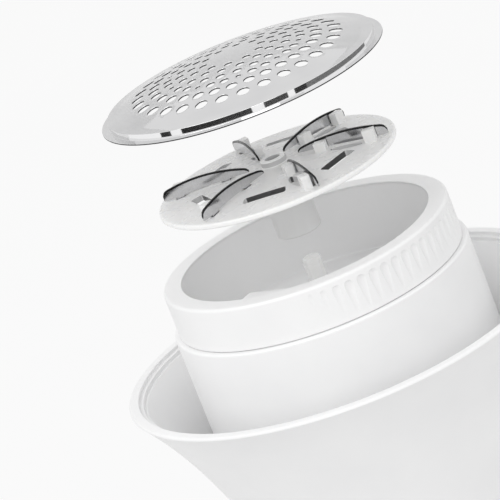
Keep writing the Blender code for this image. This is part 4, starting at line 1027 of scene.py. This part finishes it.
def add_border(bm):
    """Smooth border of the dome, upright band and flat flange, open where the perforated field joins."""
    shoulder = BAND_RADIUS - SHEET
    corners = [(HOLE_FIELD, dome(HOLE_FIELD), 0.0)] + [(r, dome(r), 0.0) for r in (24.4, 25.2, 26.0, 26.8)]
    corners += [(BAND_RADIUS, dome(BAND_RADIUS) + BAND_RISE, 0.08), (BAND_RADIUS, FLANGE_THICKNESS, 0.04),
                (FLANGE_RADIUS, FLANGE_THICKNESS, 0.03), (FLANGE_RADIUS, 0.0, 0.03), (shoulder, 0.0, 0.2),
                (shoulder, dome(shoulder) - 1.5 * SHEET, 0.3)]
    corners += [(r, dome(r, SHEET), 0.0) for r in (26.8, 26.0, 25.2, 24.4)]
    corners += [(HOLE_FIELD, dome(HOLE_FIELD, SHEET), 0.0)]
    outline = rounded(corners, closed=False)
    rings = [[bm.verts.new((x, y, FLANGE_LEVEL + z)) for x, y in circle(r, STEPS)] for r, z in outline]
    for (first, second), (start, end) in zip(zip(rings, rings[1:]), zip(outline, outline[1:])):
        upright = abs(start[0] - end[0]) < 0.01
        # The band's upright faces take the lighter steel, a painted highlight; the flange's outer edge takes the
        # near-black steel, painted shade.
        finish = POLISHED
        if upright and start[0] > BAND_RADIUS - 0.01:
            finish = CUT_SHADE_INDEX if start[0] > FLANGE_RADIUS - 0.01 else BAND_HIGHLIGHT_INDEX
        skin(bm, first, second, finish)


# ---------------------------------------------------------------- carried nodes

CARRIED = {
    "motor_can": PLATED_STEEL, "motor_shaft": PLATED_STEEL, "motor_screw_1": PLATED_STEEL,
    "motor_screw_2": PLATED_STEEL, "base_screw_1": PLATED_STEEL, "base_screw_2": PLATED_STEEL,
    "base_screw_3": PLATED_STEEL, "motor_rotor": COPPER, "motor_end_cap": DARK, "tact_switch": DARK,
    "inner_frame": FRAME_GREY, "control_board": BOARD, "battery_cell": WRAP,
}


def carry():
    for node, finish in CARRIED.items():
        mesh = frame["nodes"][node].data
        mesh.materials.clear()
        mesh.materials.append(finish)


# ---------------------------------------------------------------- stage, light and camera

def staged(name, verts, faces, finish):
    mesh = bpy.data.meshes.new(name)
    mesh.from_pydata(verts, [], faces)
    mesh.materials.append(finish)
    made = placed(name, mesh)
    return made


def seen_directly(tree):
    """1 for rays that should meet a white surround: from the camera, in a reflection or through glass."""
    path = tree.nodes.new("ShaderNodeLightPath")
    total = path.outputs["Is Camera Ray"]
    for ray in ("Is Glossy Ray", "Is Transmission Ray"):
        total = worked(tree, "MAXIMUM", total, path.outputs[ray])
    return total


FLOOR_DROP = 0.00005        # metres; keeps the floor and the foot's underside from sharing a plane
FLOOR_SIZE = 6.0            # metres from the middle to a side
FLOOR_GLOW = 0.85           # share of plain white in what is seen of the floor; the rest keeps the shadow


def floor():
    made, tree, shader = tree_of("floor_white")
    shader.inputs["Roughness"].default_value = 0.9
    shader.inputs["Specular IOR Level"].default_value = 0.0
    tone = mixed(tree, ranged(tree, noise(tree, 9.0, 4.0), 0.0, 1.0), (0.70, 0.70, 0.70), (0.68, 0.68, 0.68))
    tree.links.new(tone, shader.inputs["Base Color"])
    glow = tree.nodes.new("ShaderNodeEmission")
    glow.inputs["Strength"].default_value = 1.0
    share = worked(tree, "MULTIPLY", seen_directly(tree), FLOOR_GLOW)
    tree.links.new(blended(tree, share, shader, glow), tree.nodes["Material Output"].inputs["Surface"])
    size, level = FLOOR_SIZE, -FLOOR_DROP
    staged("floor", [(-size, -size, level), (size, -size, level), (size, size, level), (-size, size, level)],
           [(0, 1, 2, 3)], made)


WORLD_LIGHT = 0.86


def world():
    made = bpy.data.worlds.new("studio")
    bpy.context.scene.world = made
    made.use_nodes = True
    tree = made.node_tree
    tree.nodes.clear()
    lit, white = (tree.nodes.new("ShaderNodeBackground") for _ in range(2))
    for node, strength in ((lit, WORLD_LIGHT), (white, 1.0)):
        node.inputs["Color"].default_value = (1.0, 1.0, 1.0, 1.0)
        node.inputs["Strength"].default_value = strength
    out = tree.nodes.new("ShaderNodeOutputWorld")
    tree.links.new(blended(tree, seen_directly(tree), lit, white), out.inputs["Surface"])


# name, place and aim in metres, size in metres, power in watts
LAMPS = (
    ("key", (-0.9, -0.7, 1.5), (0.0, 0.0, 0.12), 1.1, 7.5),
    ("fill", (1.3, -0.5, 0.9), (0.0, 0.0, 0.12), 1.2, 1.2),
    ("front", (0.1, -1.4, 0.60), (0.0, 0.0, 0.15), 0.8, 2.8),
)


def lamp(name, place, aim, size, power):
    data = bpy.data.lights.new(name, "AREA")
    data.shape = "SQUARE"
    data.size = size
    data.energy = power
    made = placed(name, data)
    made.location = place
    made.rotation_mode = "QUATERNION"
    made.rotation_quaternion = (Vector(aim) - Vector(place)).to_track_quat("-Z", "Y")


# Cards that stand round the object and show only in its metal: bearing of the first and the last
# edge in degrees, top in metres, and how light the card is.
CARDS = (
    (-171.0, -161.0, 0.135, 0.03),
    (-151.0, -92.0, 0.135, 0.02),
    (-82.0, -62.0, 0.135, 0.06),
    (-56.0, -45.0, 0.135, 0.03),
    (-45.0, 30.0, 0.135, 0.20),
    (30.0, 150.0, 0.45, 0.88),
)
CARD_DISTANCE = 0.45


def cards():
    for number, (first, last, top, tone) in enumerate(CARDS, 1):
        made, tree, shader = tree_of(f"card_{number}")
        cloth = ranged(tree, noise(tree, 14.0, 3.0), tone * 0.92, tone)
        combined = tree.nodes.new("ShaderNodeCombineColor")
        for channel in ("Red", "Green", "Blue"):
            tree.links.new(cloth, combined.inputs[channel])
        tree.links.new(combined.outputs[0], shader.inputs["Base Color"])
        shader.inputs["Roughness"].default_value = 0.9
        count = max(2, round((last - first) / 3))
        verts = []
        for i in range(count + 1):
            x, y = polar(CARD_DISTANCE, first + (last - first) * i / count)
            verts += [(x, y, 0.0005), (x, y, top)]
        faces = [(2 * i, 2 * i + 2, 2 * i + 3, 2 * i + 1) for i in range(count)]
        card = staged(f"card_{number}", verts, faces, made)
        card.visible_camera = False
        card.visible_diffuse = False
        card.visible_transmission = False
        card.visible_shadow = False


CAMERA_LENS = 252.0         # millimetres
CAMERA_PLACE = (-0.01094, -0.6806, 0.3623)
CAMERA_RIGHT = (0.9304, -0.1081, -0.3502)
CAMERA_UP = (0.3663, 0.2745, 0.8891)
CAMERA_BACK = (0.0, -0.9555, 0.2950)


def camera():
    data = bpy.data.cameras.new("camera")
    data.sensor_width = 36.0
    data.lens = CAMERA_LENS
    data.clip_start = 0.05
    data.clip_end = 20.0
    made = placed("camera", data)
    pose = Matrix.Identity(4)
    for column, vector in enumerate((CAMERA_RIGHT, CAMERA_UP, CAMERA_BACK)):
        pose.col[column].xyz = Vector(vector).normalized()
    pose.translation = CAMERA_PLACE
    made.matrix_world = pose
    bpy.context.scene.camera = made


# ---------------------------------------------------------------- all of it

for make in (shell, base, switchgear, housing, well, ring, peg, disc, blades, guard, carry, floor, world, cards,
             camera):
    make()
for lamp_settings in LAMPS:
    lamp(*lamp_settings)
bpy.context.scene.view_settings.view_transform = "Standard"
